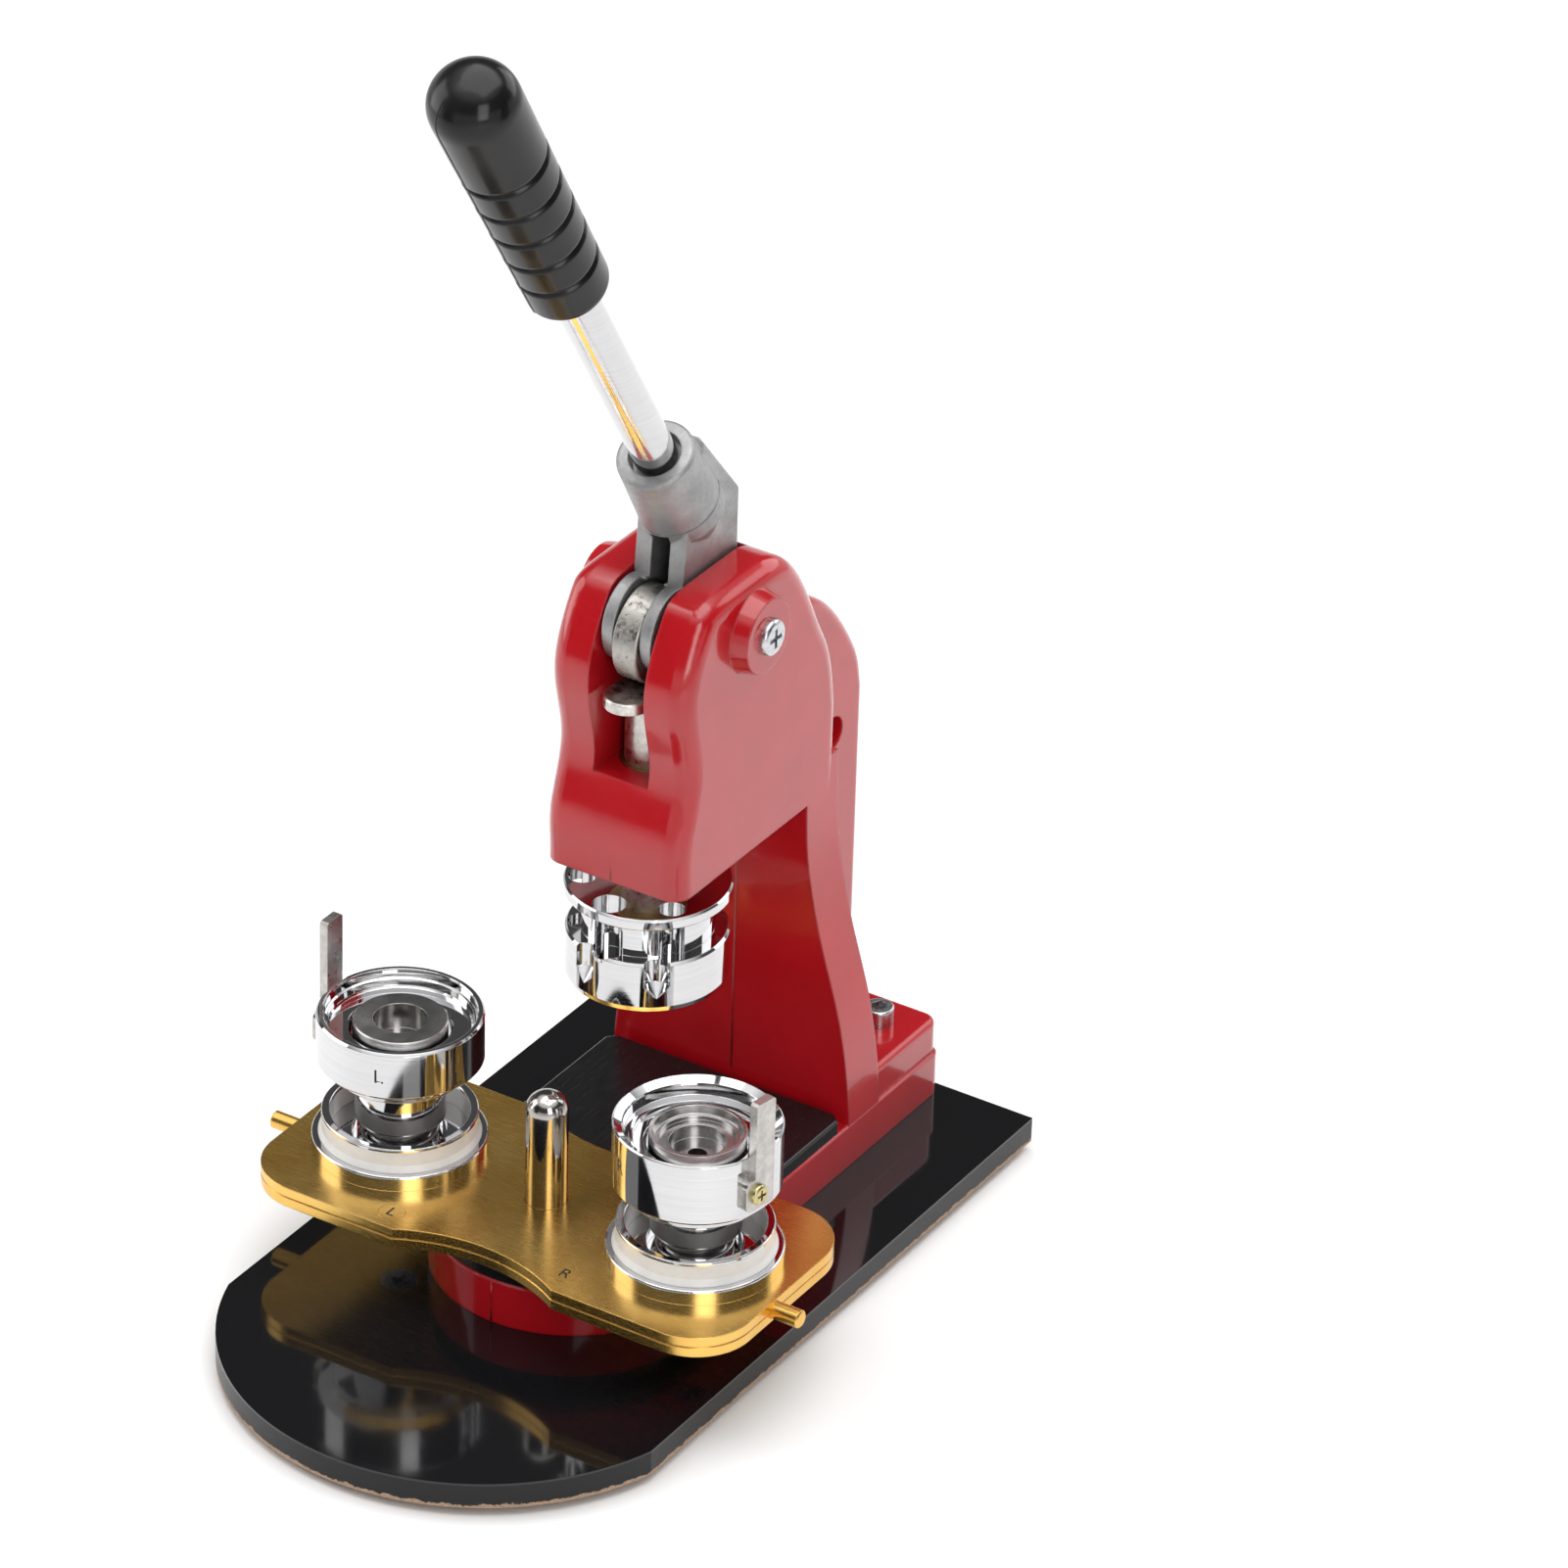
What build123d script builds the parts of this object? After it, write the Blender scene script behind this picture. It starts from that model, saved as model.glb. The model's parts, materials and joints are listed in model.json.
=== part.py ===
from build123d import *
import math
import os

os.makedirs("parts", exist_ok=True)

# ---------------------------------------------------------------- driving dimensions (mm)
# Base board on rubber feet
BOARD_WIDTH = 160.0
BOARD_BACK_Y = 143.5
BOARD_FRONT_Y = -143.5
BOARD_SIDE_END_Y = -85.0
FOOT_HEIGHT = 3.0
FOOT_RADIUS = 10.0
BOARD_TOP_Z = 12.0
LAMINATE_THICKNESS = 0.8
FOOT_X = 62.0
FOOT_BACK_Y = 125.0
FOOT_FRONT_Y = -85.0

# Cast frame: base, rear block, column, head and web
BASE_HALF_WIDTH = 45.7
BASE_TOP_Z = 28.0
BASE_BACK_Y = 141.5
BASE_ROUND_Y = -9.3
PAD_THICKNESS = 5.0
PAD_HALF_WIDTH = 45.0
PAD_BACK_Y = 81.0
BLOCK_TOP_Z = 40.0
BLOCK_HALF_WIDTH = 44.5
BLOCK_FRONT_Y = 100.0
COLUMN_FRONT_Y = 84.0
COLUMN_REAR_Y = 102.5
HEAD_HALF_WIDTH = 25.8
HEAD_ROUNDING = 6.5
HEAD_BOTTOM_Z = 142.0
HEAD_TOP_Z = 241.0
SLOT_HALF_WIDTH = 10.25
SLOT_FLOOR_Z = 177.0
SLOT_REAR_Y = 68.5
WEB_HALF_WIDTH = 11.0
WEB_HOLE_RADIUS = 6.0
WEB_HOLE_Y = 122.5
WEB_HOLE_Z = 145.0
BOLT_X = 29.7
BOLT_Y = 127.0

# Lever axle
AXLE_Y = 48.5
AXLE_Z = 222.5
AXLE_RADIUS = 3.1
AXLE_TAP_RADIUS = 1.8
BOSS_FACE_X = 31.5
BOSS_ROOT_RADIUS = 14.2
BOSS_FACE_RADIUS = 12.5

# Ram, its bushes and return spring
RAM_Y = 31.5
RAM_RADIUS = 8.5
RAM_BORE_RADIUS = 8.55
RAM_TOP_Z = 202.6
POCKET_RADIUS = 12.5
POCKET_BOTTOM_Z = 146.0
POCKET_TOP_Z = 172.0
BUSH_RADIUS = 10.0
COLLAR_BOTTOM_Z = 169.0
COLLAR_THICKNESS = 2.7
COLLAR_RADIUS = 12.0
WEAR_PLATE_THICKNESS = 3.7
WEAR_PLATE_END_Y = 17.2
WEAR_PLATE_RADIUS = 7.5
WEAR_PLATE_BACK_Y = 40.0

# Roller and lever
ROLLER_Y = 29.5
ROLLER_Z = 222.4
ROLLER_RADIUS = 15.5
ROLLER_HALF_WIDTH = 4.5
ROLLER_PIN_RADIUS = 4.0
ARM_END_RADIUS = 14.0
FORK_HALF_WIDTH = 9.0
FORK_GAP_HALF_WIDTH = 5.0
HUB_RADIUS = 16.0
LEVER_TILT = 32.3
SOCKET_FOOT_Y = 50.5
SOCKET_FOOT_Z = 252.5
SOCKET_LENGTH = 39.0
SOCKET_TOP_RADIUS = 12.6
SOCKET_FOOT_RADIUS = 13.7
ROD_RADIUS = 7.0
ROD_VISIBLE_LENGTH = 92.0
GRIP_LENGTH = 108.0
GRIP_RADIUS = 14.0

# Turntable
PIVOT_Y = -24.5
PLATE_HALF_LENGTH = 90.2
PLATE_HALF_WIDTH = 42.0
PLATE_CORNER_RADIUS = 20.0
PLATE_WAIST_RADIUS = 60.0
PLATE_WAIST_DEPTH = 8.0
PLATE_BOTTOM_Z = 35.0
PLATE_TOP_Z = 42.0
POST_RADIUS = 6.85
POST_BORE_RADIUS = 6.9
POST_TOP_Z = 81.6
PIN_RADIUS = 3.0
PIN_Y = -31.5
PIN_REACH = 100.0
DIE_X = 56.0

# Lower dies
DIE_BASE_RADIUS = 28.3
DIE_BASE_TOP_Z = 47.2
SLEEVE_RADIUS = 25.1
SLEEVE_BORE = 22.3
SLEEVE_TOP_Z = 54.3
RIM_TOP_Z = 55.5
RING_RADIUS = 26.8
RING_BORE = 16.2
NECK_OUTER = 14.6
NECK_INNER = 13.4
NECK_BOTTOM_Z = 54.0
RING_STOP_Z = 78.5
RING_SPRING_TOP_Z = 76.0
PEDESTAL_HEAD_Z = 79.0
STEM_RADIUS = 10.0
GROOVE_INNER = 10.4
GROOVE_BOTTOM_Z = 43.0
RIGHT_RING_TURN = -10.0
FLAT_OFFSET = 25.2
TAB_THICKNESS = 3.0
TAB_WIDTH = 8.3
TAB_TOP_Z = 117.0
RIGHT_TAB_TOP_Z = 112.0
TAB_BOTTOM_Z = 74.0
TAB_SCREW_Z = 79.5

# Upper die
UPPER_LIP_Z = 98.65
UPPER_CUP_TOP_Z = 116.2
UPPER_FLANGE_Z = 129.0
UPPER_TOP_Z = 133.0
UPPER_CUP_RADIUS = 26.2
UPPER_WAIST_RADIUS = 21.5
UPPER_FLANGE_RADIUS = 26.9
UPPER_REAR_FLAT = 23.0


# ---------------------------------------------------------------- small helpers
def disc(x, y, radius, z_low, z_high):
    """Upright cylinder between two heights."""
    height = z_high - z_low
    return Pos(x, y, (z_low + z_high) / 2) * Cylinder(radius, height)


def ring(x, y, outer, inner, z_low, z_high):
    """Upright tube between two heights."""
    return disc(x, y, outer, z_low, z_high) - disc(x, y, inner, z_low - 1, z_high + 1)


def cross_bar(y, z, radius, x_low, x_high):
    """Cylinder lying along X."""
    length = x_high - x_low
    return Pos((x_low + x_high) / 2, y, z) * Rot(0, 90, 0) * Cylinder(radius, length)


def block(x_low, x_high, y_low, y_high, z_low, z_high):
    """Plain box given by its limits."""
    size = (x_high - x_low, y_high - y_low, z_high - z_low)
    middle = ((x_low + x_high) / 2, (y_low + y_high) / 2, (z_low + z_high) / 2)
    return Pos(*middle) * Box(*size)


def turned(points, x=0.0, y=0.0):
    """Solid of revolution about an upright axis from (radius, height) points."""
    outline = Plane.XZ * Polyline(*points, close=True)
    face = make_face(outline)
    return Pos(x, y, 0) * revolve(face, Axis.Z)


def cone_frustum_z(x, y, low_radius, high_radius, z_low, z_high):
    """Upright cone piece."""
    height = z_high - z_low
    return Pos(x, y, (z_low + z_high) / 2) * Cone(low_radius, high_radius, height)


def phillips_cut(width, depth):
    """Cross recess, its mouth at z = 0, going down."""
    arm = Box(width, width / 4.5, depth)
    cross = arm + Box(width / 4.5, width, depth)
    return Pos(0, 0, -depth / 2) * cross


def hexagon_cut(across_flats, depth):
    """Hexagon recess, its mouth at z = 0, going down."""
    sketch = RegularPolygon(across_flats / math.sqrt(3), 6)
    return extrude(sketch, -depth)


def pan_head_screw(head_radius, head_height, shank_radius, shank_length):
    """Pan-head cross-recess screw standing on z = 0, head above, shank below."""
    head = Pos(0, 0, head_height / 2) * Cylinder(head_radius, head_height)
    top_edge = head.edges().group_by(Axis.Z)[-1]
    head = fillet(top_edge, head_height * 0.6)
    shank = Pos(0, 0, -shank_length / 2) * Cylinder(shank_radius, shank_length)
    recess = Pos(0, 0, head_height) * phillips_cut(head_radius * 1.1, head_height * 0.7)
    return head + shank - recess


def countersunk_screw(head_radius, shank_radius, length):
    """Countersunk cross-recess screw, head face at z = 0, shank going down."""
    cone_height = head_radius - shank_radius
    head = Pos(0, 0, -cone_height / 2) * Cone(shank_radius, head_radius, cone_height)
    shank = Pos(0, 0, -(cone_height + length) / 2) * Cylinder(shank_radius, length - cone_height)
    return head + shank - phillips_cut(head_radius * 1.1, cone_height * 0.7)


def countersunk_hole(head_radius, shank_radius, length):
    """Space that a countersunk screw fills, head face at z = 0."""
    cone_height = head_radius - shank_radius
    head = Pos(0, 0, -cone_height / 2) * Cone(shank_radius, head_radius, cone_height)
    shank = Pos(0, 0, -(cone_height + length) / 2) * Cylinder(shank_radius, length - cone_height)
    return head + shank


def coil_spring(radius, wire_radius, z_low, z_high, turns):
    """Compression spring between two heights."""
    low = z_low + wire_radius
    high = z_high - wire_radius
    path = Helix(pitch=(high - low) / turns, height=high - low, radius=radius)
    profile = Plane(origin=path @ 0, z_dir=path % 0) * Circle(wire_radius)
    return Pos(0, 0, low) * sweep(profile, path)


# ---------------------------------------------------------------- base board
def board_outline(inset=0.0):
    """Board seen from above: straight back and sides, round front."""
    half = BOARD_WIDTH / 2 - inset
    back = BOARD_BACK_Y - inset
    front = BOARD_FRONT_Y + inset
    outline = Polyline((half, BOARD_SIDE_END_Y), (half, back), (-half, back), (-half, BOARD_SIDE_END_Y))
    rise = BOARD_SIDE_END_Y - front
    radius = (half**2 + rise**2) / (2 * rise)
    left_arc = RadiusArc((-half, BOARD_SIDE_END_Y), (0, front), -radius)
    right_arc = RadiusArc((0, front), (half, BOARD_SIDE_END_Y), -radius)
    return make_face([outline, left_arc, right_arc])


def foot_positions():
    return [(x, y) for x in (-FOOT_X, FOOT_X) for y in (FOOT_FRONT_Y, FOOT_BACK_Y)]


PIVOT_SCREW_RADIUS = 4.0
PIVOT_SCREW_HEAD_RADIUS = 7.0
NUT_POCKET_RADIUS = 8.0
NUT_POCKET_TOP_Z = 8.0
BOLT_RADIUS = 3.0
BOLT_HEAD_RADIUS = 5.0
BOLT_HEAD_HEIGHT = 6.0
FOOT_SCREW_RADIUS = 1.5
FOOT_SCREW_HEAD_RADIUS = 3.0
FOOT_SCREW_LENGTH = 9.0
FOOT_SCREW_FACE_Z = 1.0


def board_core():
    top = BOARD_TOP_Z - LAMINATE_THICKNESS
    core = Pos(0, 0, FOOT_HEIGHT) * extrude(board_outline(), top - FOOT_HEIGHT)
    core = core - board_holes()
    return core


def board_laminate():
    low = BOARD_TOP_Z - LAMINATE_THICKNESS
    sheet = Pos(0, 0, low) * extrude(board_outline(), LAMINATE_THICKNESS)
    return sheet - board_holes()


def board_holes():
    """Holes for the frame bolts, the pivot screw and the foot screws."""
    holes = disc(0, PIVOT_Y, PIVOT_SCREW_RADIUS, 0, 20)
    holes = holes + disc(0, PIVOT_Y, NUT_POCKET_RADIUS, 0, NUT_POCKET_TOP_Z)
    for x in (-BOLT_X, BOLT_X):
        holes = holes + disc(x, BOLT_Y, BOLT_RADIUS, 0, 20)
        holes = holes + disc(x, BOLT_Y, NUT_POCKET_RADIUS, 0, NUT_POCKET_TOP_Z)
    for x, y in foot_positions():
        holes = holes + disc(x, y, FOOT_SCREW_RADIUS, 0, FOOT_SCREW_FACE_Z + FOOT_SCREW_LENGTH)
    return holes


def rubber_feet():
    feet = []
    for x, y in foot_positions():
        foot = cone_frustum_z(x, y, FOOT_RADIUS - 1, FOOT_RADIUS, 0, FOOT_HEIGHT)
        recess = disc(x, y, FOOT_SCREW_HEAD_RADIUS + 0.4, -1, FOOT_SCREW_FACE_Z)
        screw_space = Pos(x, y, FOOT_SCREW_FACE_Z) * Rot(180, 0, 0)
        screw_space = screw_space * countersunk_hole(
            FOOT_SCREW_HEAD_RADIUS, FOOT_SCREW_RADIUS, FOOT_SCREW_LENGTH
        )
        feet.append(foot - recess - screw_space)
    return Compound(children=feet)


def foot_screws():
    screws = []
    for x, y in foot_positions():
        screw = countersunk_screw(FOOT_SCREW_HEAD_RADIUS, FOOT_SCREW_RADIUS, FOOT_SCREW_LENGTH)
        screws.append(Pos(x, y, FOOT_SCREW_FACE_Z) * Rot(180, 0, 0) * screw)
    return Compound(children=screws)


# ---------------------------------------------------------------- cast frame
def base_outline(half_width, back_y, corner):
    """Base seen from above: round front, square back with rounded corners."""
    right = Line((half_width, BASE_ROUND_Y), (half_width, back_y - corner))
    right_corner = RadiusArc((half_width, back_y - corner), (half_width - corner, back_y), -corner)
    back = Line((half_width - corner, back_y), (-half_width + corner, back_y))
    left_corner = RadiusArc((-half_width + corner, back_y), (-half_width, back_y - corner), -corner)
    left = Line((-half_width, back_y - corner), (-half_width, BASE_ROUND_Y))
    front_y = BASE_ROUND_Y - half_width
    front = ThreePointArc((-half_width, BASE_ROUND_Y), (0, front_y), (half_width, BASE_ROUND_Y))
    return make_face([right, right_corner, back, left_corner, left, front])


def frame_base():
    slab = extrude(base_outline(BASE_HALF_WIDTH, BASE_BACK_Y, 5), BASE_TOP_Z - BOARD_TOP_Z)
    slab = Pos(0, 0, BOARD_TOP_Z) * slab
    slab = chamfer(slab.edges().group_by(Axis.Z)[-1], 0.6)
    return slab


def frame_rear_block():
    solid = block(
        -BLOCK_HALF_WIDTH, BLOCK_HALF_WIDTH, BLOCK_FRONT_Y, BASE_BACK_Y, BASE_TOP_Z - 3, BLOCK_TOP_Z
    )
    solid = fillet(solid.edges().filter_by(Axis.Z).group_by(Axis.Y)[-1], 5)
    return fillet(solid.edges().group_by(Axis.Z)[-1], 2)


def frame_column():
    """Upright plate whose sides sweep outwards to the base."""
    top = HEAD_BOTTOM_Z + 12
    side = [(45.5, 28), (44.5, 42), (40, 68), (33, 92), (27.5, 117), (25.8, 142)]
    right = Spline(*side, tangents=[(-0.02, 1), (-0.02, 1)])
    left = mirror(right, Plane.YZ)
    bottom = Polyline((-45.5, 28), (-45.5, BASE_TOP_Z - 4), (45.5, BASE_TOP_Z - 4), (45.5, 28))
    cap = Polyline((25.8, 142), (25.4, top), (-25.4, top), (-25.8, 142))
    face = Plane.XZ * make_face([right, left, bottom, cap])
    plate = extrude(face, -(COLUMN_REAR_Y - COLUMN_FRONT_Y))
    plate = Pos(0, COLUMN_FRONT_Y, 0) * plate
    return plate


def head_side_profile():
    """Side view of the head: nose, ledge, waist, lobe, top and sloping back."""
    nose_y = 9.4
    underside = Line((COLUMN_REAR_Y, HEAD_BOTTOM_Z), (nose_y, HEAD_BOTTOM_Z))
    front = Spline((nose_y, HEAD_BOTTOM_Z), (9.2, 160), (14.6, 182), (10.4, 212), (20, 235.5),
                   (38, HEAD_TOP_Z), tangents=[(0, 1), (1, 0)])
    top = Line((38, HEAD_TOP_Z), (58, HEAD_TOP_Z))
    back = Spline((58, HEAD_TOP_Z), (76, 233), (92, 206), (COLUMN_REAR_Y, 172), tangents=[(1, 0), (0.1, -1)])
    rear = Line((COLUMN_REAR_Y, 172), (COLUMN_REAR_Y, HEAD_BOTTOM_Z))
    return make_face([underside, front, top, back, rear])


def frame_head():
    """Head with its outer edges rounded along the whole profile."""
    solid = extrude(Plane.YZ * head_side_profile(), HEAD_HALF_WIDTH, both=True)
    outer = solid.edges().filter_by(lambda e: abs(abs(e.center().X) - HEAD_HALF_WIDTH) < 0.01)
    outer = outer.filter_by(lambda e: e.bounding_box().max.Z > HEAD_BOTTOM_Z + 1)
    outer = outer.filter_by(lambda e: e.bounding_box().min.Y < COLUMN_REAR_Y - 0.5)
    return fillet(outer, HEAD_ROUNDING)


def frame_web():
    """Rear web joining the base to the head."""
    low = BLOCK_TOP_Z - 4
    top_curve = Spline((84, 214), (95, 209.5), (106, 203.5), (117.5, 196), (127.5, 185.6),
                       (136, 173), (141.5, 155), tangents=[(1, -0.35), (0.12, -1)])
    rest = Polyline((141.5, 155), (141.5, low), (90, low), (84, 214))
    solid = extrude(Plane.YZ * make_face([top_curve, rest]), WEB_HALF_WIDTH, both=True)
    rim = solid.edges().filter_by(lambda e: e.center().Y > 103 and abs(e.center().X) > 10)
    rim = rim.filter_by(lambda e: e.center().Z > low + 1)
    return fillet(rim, 4)


def axle_boss(side):
    cone = Cone(BOSS_ROOT_RADIUS, BOSS_FACE_RADIUS, BOSS_FACE_X - 25)
    turn = 90 if side > 0 else -90
    x = side * (25 + BOSS_FACE_X) / 2
    return Pos(x, AXLE_Y, AXLE_Z) * Rot(0, turn, 0) * cone


def lever_slot():
    slot = block(-SLOT_HALF_WIDTH, SLOT_HALF_WIDTH, 0, SLOT_REAR_Y, SLOT_FLOOR_Z, HEAD_TOP_Z + 5)
    return slot


def frame_bores():
    """Ram bore, spring pocket, bush seats, axle bore, web hole and bolt holes."""
    bores = disc(0, RAM_Y, RAM_BORE_RADIUS, HEAD_BOTTOM_Z - 5, SLOT_FLOOR_Z + 2)
    bores = bores + disc(0, RAM_Y, POCKET_RADIUS, HEAD_BOTTOM_Z - 5, POCKET_TOP_Z)
    bores = bores + disc(0, RAM_Y, BUSH_RADIUS, POCKET_TOP_Z - 1, SLOT_FLOOR_Z + 2)
    bores = bores + cross_bar(AXLE_Y, AXLE_Z, AXLE_RADIUS, -40, 40)
    bores = bores + cross_bar(WEB_HOLE_Y, WEB_HOLE_Z, WEB_HOLE_RADIUS, -20, 20)
    bores = bores + disc(0, PIVOT_Y, PIVOT_SCREW_RADIUS, BOARD_TOP_Z - 1, BASE_TOP_Z + 1)
    for x in (-BOLT_X, BOLT_X):
        bores = bores + disc(x, BOLT_Y, BOLT_RADIUS, BOARD_TOP_Z - 1, BLOCK_TOP_Z + 1)
    bores = bores + disc(0, DETENT_Y, DETENT_BORE, BASE_TOP_Z - 8, BASE_TOP_Z + 1)
    return bores


DETENT_Y = PIVOT_Y + 30.0
DETENT_BORE = 3.2
DETENT_BALL_RADIUS = 3.0
DETENT_BALL_Z = 31.6
DETENT_DIMPLE_RADIUS = 3.6


def frame_casting():
    upper = frame_head() + frame_column()
    casting = upper + frame_web() + frame_rear_block() + frame_base()
    casting = casting + axle_boss(1) + axle_boss(-1)
    casting = casting - lever_slot() - frame_bores()
    return casting


def base_pad():
    """Black pad on the base, under the turntable."""
    half = PAD_HALF_WIDTH
    back = PAD_BACK_Y
    sides = Polyline((half, BASE_ROUND_Y), (half, back - 3), (half - 3, back),
                     (-half + 3, back), (-half, back - 3), (-half, BASE_ROUND_Y))
    front = ThreePointArc((-half, BASE_ROUND_Y), (0, BASE_ROUND_Y - half), (half, BASE_ROUND_Y))
    pad = Pos(0, 0, BASE_TOP_Z) * extrude(make_face([sides, front]), PAD_THICKNESS)
    pad = fillet(pad.edges().group_by(Axis.Z)[-1], 1.2)
    pad = pad - disc(0, PIVOT_Y, PIVOT_SCREW_RADIUS, BASE_TOP_Z - 1, BASE_TOP_Z + 10)
    return pad - disc(0, DETENT_Y, DETENT_BORE, BASE_TOP_Z - 1, BASE_TOP_Z + 10)


def frame_bolts():
    bolts = []
    for x in (-BOLT_X, BOLT_X):
        head = Pos(0, 0, BOLT_HEAD_HEIGHT / 2) * Cylinder(BOLT_HEAD_RADIUS, BOLT_HEAD_HEIGHT)
        head = fillet(head.edges().group_by(Axis.Z)[-1], 0.7)
        head = head - Pos(0, 0, BOLT_HEAD_HEIGHT) * hexagon_cut(5, 3.5)
        length = BLOCK_TOP_Z - FOOT_HEIGHT - 0.5
        shank = Pos(0, 0, -length / 2) * Cylinder(BOLT_RADIUS, length)
        bolts.append(Pos(x, BOLT_Y, BLOCK_TOP_Z) * (head + shank))
    return Compound(children=bolts)


def frame_nuts():
    nuts = []
    for x in (-BOLT_X, BOLT_X):
        nut = extrude(RegularPolygon(5.8, 6), 3.2)
        low = NUT_POCKET_TOP_Z - 3.2 - 1.0
        nuts.append(Pos(x, BOLT_Y, low) * nut - disc(x, BOLT_Y, BOLT_RADIUS, 0, 20))
    return Compound(children=nuts)


def frame_washers():
    low = NUT_POCKET_TOP_Z - 1.0
    washers = [ring(x, BOLT_Y, 6.5, BOLT_RADIUS, low, NUT_POCKET_TOP_Z) for x in (-BOLT_X, BOLT_X)]
    return Compound(children=washers)


# ---------------------------------------------------------------- pivot post and detent
def pivot_post():
    """Polished post that the turntable turns on."""
    low = BASE_TOP_Z + PAD_THICKNESS
    post = disc(0, PIVOT_Y, POST_RADIUS, low, POST_TOP_Z)
    post = fillet(post.edges().group_by(Axis.Z)[-1], 6.0)
    return post - disc(0, PIVOT_Y, PIVOT_SCREW_RADIUS, low - 1, low + 25)


def pivot_screw():
    """Screw from under the board that holds the post."""
    low = NUT_POCKET_TOP_Z
    head = disc(0, PIVOT_Y, PIVOT_SCREW_HEAD_RADIUS, low - 4.5, low)
    head = head - Pos(0, PIVOT_Y, low - 4.5) * Rot(180, 0, 0) * hexagon_cut(5, 2.5)
    return head + disc(0, PIVOT_Y, PIVOT_SCREW_RADIUS, low, BASE_TOP_Z + PAD_THICKNESS + 24)


def thrust_washer():
    low = BASE_TOP_Z + PAD_THICKNESS
    return ring(0, PIVOT_Y, 14, POST_RADIUS, low, PLATE_BOTTOM_Z - 0.1)


def detent_ball():
    return Pos(0, DETENT_Y, DETENT_BALL_Z) * Sphere(DETENT_BALL_RADIUS)


def detent_spring():
    low = BASE_TOP_Z - 8
    high = DETENT_BALL_Z - 2.2
    return Pos(0, DETENT_Y, 0) * coil_spring(2.3, 0.35, low, high, 6)


# ---------------------------------------------------------------- turntable
def plate_outline(inset=0.0):
    half = PLATE_HALF_LENGTH - inset
    width = PLATE_HALF_WIDTH - inset
    sheet = RectangleRounded(2 * half, 2 * width, PLATE_CORNER_RADIUS - inset)
    reach = PLATE_HALF_WIDTH + PLATE_WAIST_RADIUS - PLATE_WAIST_DEPTH
    for y in (-reach, reach):
        sheet = sheet - Pos(0, y) * Circle(PLATE_WAIST_RADIUS + inset)
    return sheet


def turntable_plate():
    plate = Pos(0, PIVOT_Y, PLATE_BOTTOM_Z) * extrude(plate_outline(), PLATE_TOP_Z - PLATE_BOTTOM_Z)
    middle = (PLATE_BOTTOM_Z + PLATE_TOP_Z) / 2
    groove = extrude(plate_outline(-1), 0.5) - extrude(plate_outline(0.35), 0.5)
    plate = plate - Pos(0, PIVOT_Y, middle - 0.25) * groove
    plate = plate - disc(0, PIVOT_Y, POST_BORE_RADIUS, PLATE_BOTTOM_Z - 1, PLATE_TOP_Z + 1)
    for side in (-1, 1):
        low, high = sorted((side * (PIN_REACH - 25), side * (PIN_REACH + 1)))
        plate = plate - cross_bar(PIN_Y, middle, PIN_RADIUS, low, high)
        hole = Rot(180, 0, 0) * countersunk_hole(6, 3, 14)
        plate = plate - Pos(side * DIE_X, PIVOT_Y, PLATE_BOTTOM_Z) * hole
    for x, y in ((0, 30), (30, 0), (-30, 0)):
        dimple = Pos(x, PIVOT_Y + y, DETENT_BALL_Z) * Sphere(DETENT_DIMPLE_RADIUS)
        plate = plate - dimple
    return plate


def turntable_pins():
    """Side pins used to push the turntable round."""
    middle = (PLATE_BOTTOM_Z + PLATE_TOP_Z) / 2
    pins = []
    for side in (-1, 1):
        low, high = sorted((side * (PIN_REACH - 25), side * PIN_REACH))
        pin = cross_bar(PIN_Y, middle, PIN_RADIUS, low, high)
        pins.append(chamfer(pin.edges().filter_by(GeomType.CIRCLE), 0.5))
    return Compound(children=pins)


# ---------------------------------------------------------------- lower dies
def die_base(side):
    """Chrome flange on the plate with a groove for the ring spring."""
    x = side * DIE_X
    solid = disc(x, PIVOT_Y, DIE_BASE_RADIUS, PLATE_TOP_Z, DIE_BASE_TOP_Z)
    solid = fillet(solid.edges().group_by(Axis.Z)[-1], 0.8)
    solid = solid - ring(x, PIVOT_Y, 15.4, GROOVE_INNER, GROOVE_BOTTOM_Z, DIE_BASE_TOP_Z + 1)
    return solid - disc(x, PIVOT_Y, 3, PLATE_TOP_Z - 1, DIE_BASE_TOP_Z + 1)


def die_sleeve(side):
    """White nylon sleeve, slightly flared at its foot."""
    points = [(SLEEVE_BORE, DIE_BASE_TOP_Z), (26.2, DIE_BASE_TOP_Z), (25.6, 48.4),
              (SLEEVE_RADIUS, 49.6), (SLEEVE_RADIUS, SLEEVE_TOP_Z), (SLEEVE_BORE, SLEEVE_TOP_Z)]
    return turned(points, side * DIE_X, PIVOT_Y)


def die_rim(side):
    """Chrome rim on the sleeve."""
    x = side * DIE_X
    solid = ring(x, PIVOT_Y, SLEEVE_RADIUS, SLEEVE_BORE, SLEEVE_TOP_Z, RIM_TOP_Z)
    return fillet(solid.edges().group_by(Axis.Z)[-1], 0.5)


def left_pedestal():
    """Fixed disc on a stem that carries the button shell while it is drawn over."""
    points = [(3, DIE_BASE_TOP_Z), (STEM_RADIUS, DIE_BASE_TOP_Z), (STEM_RADIUS, PEDESTAL_HEAD_Z),
              (15.2, PEDESTAL_HEAD_Z), (15.2, 88.6), (14.8, 89.0), (8.7, 89.0), (8.7, 80), (3, 80)]
    return turned(points, -DIE_X, PIVOT_Y)


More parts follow.
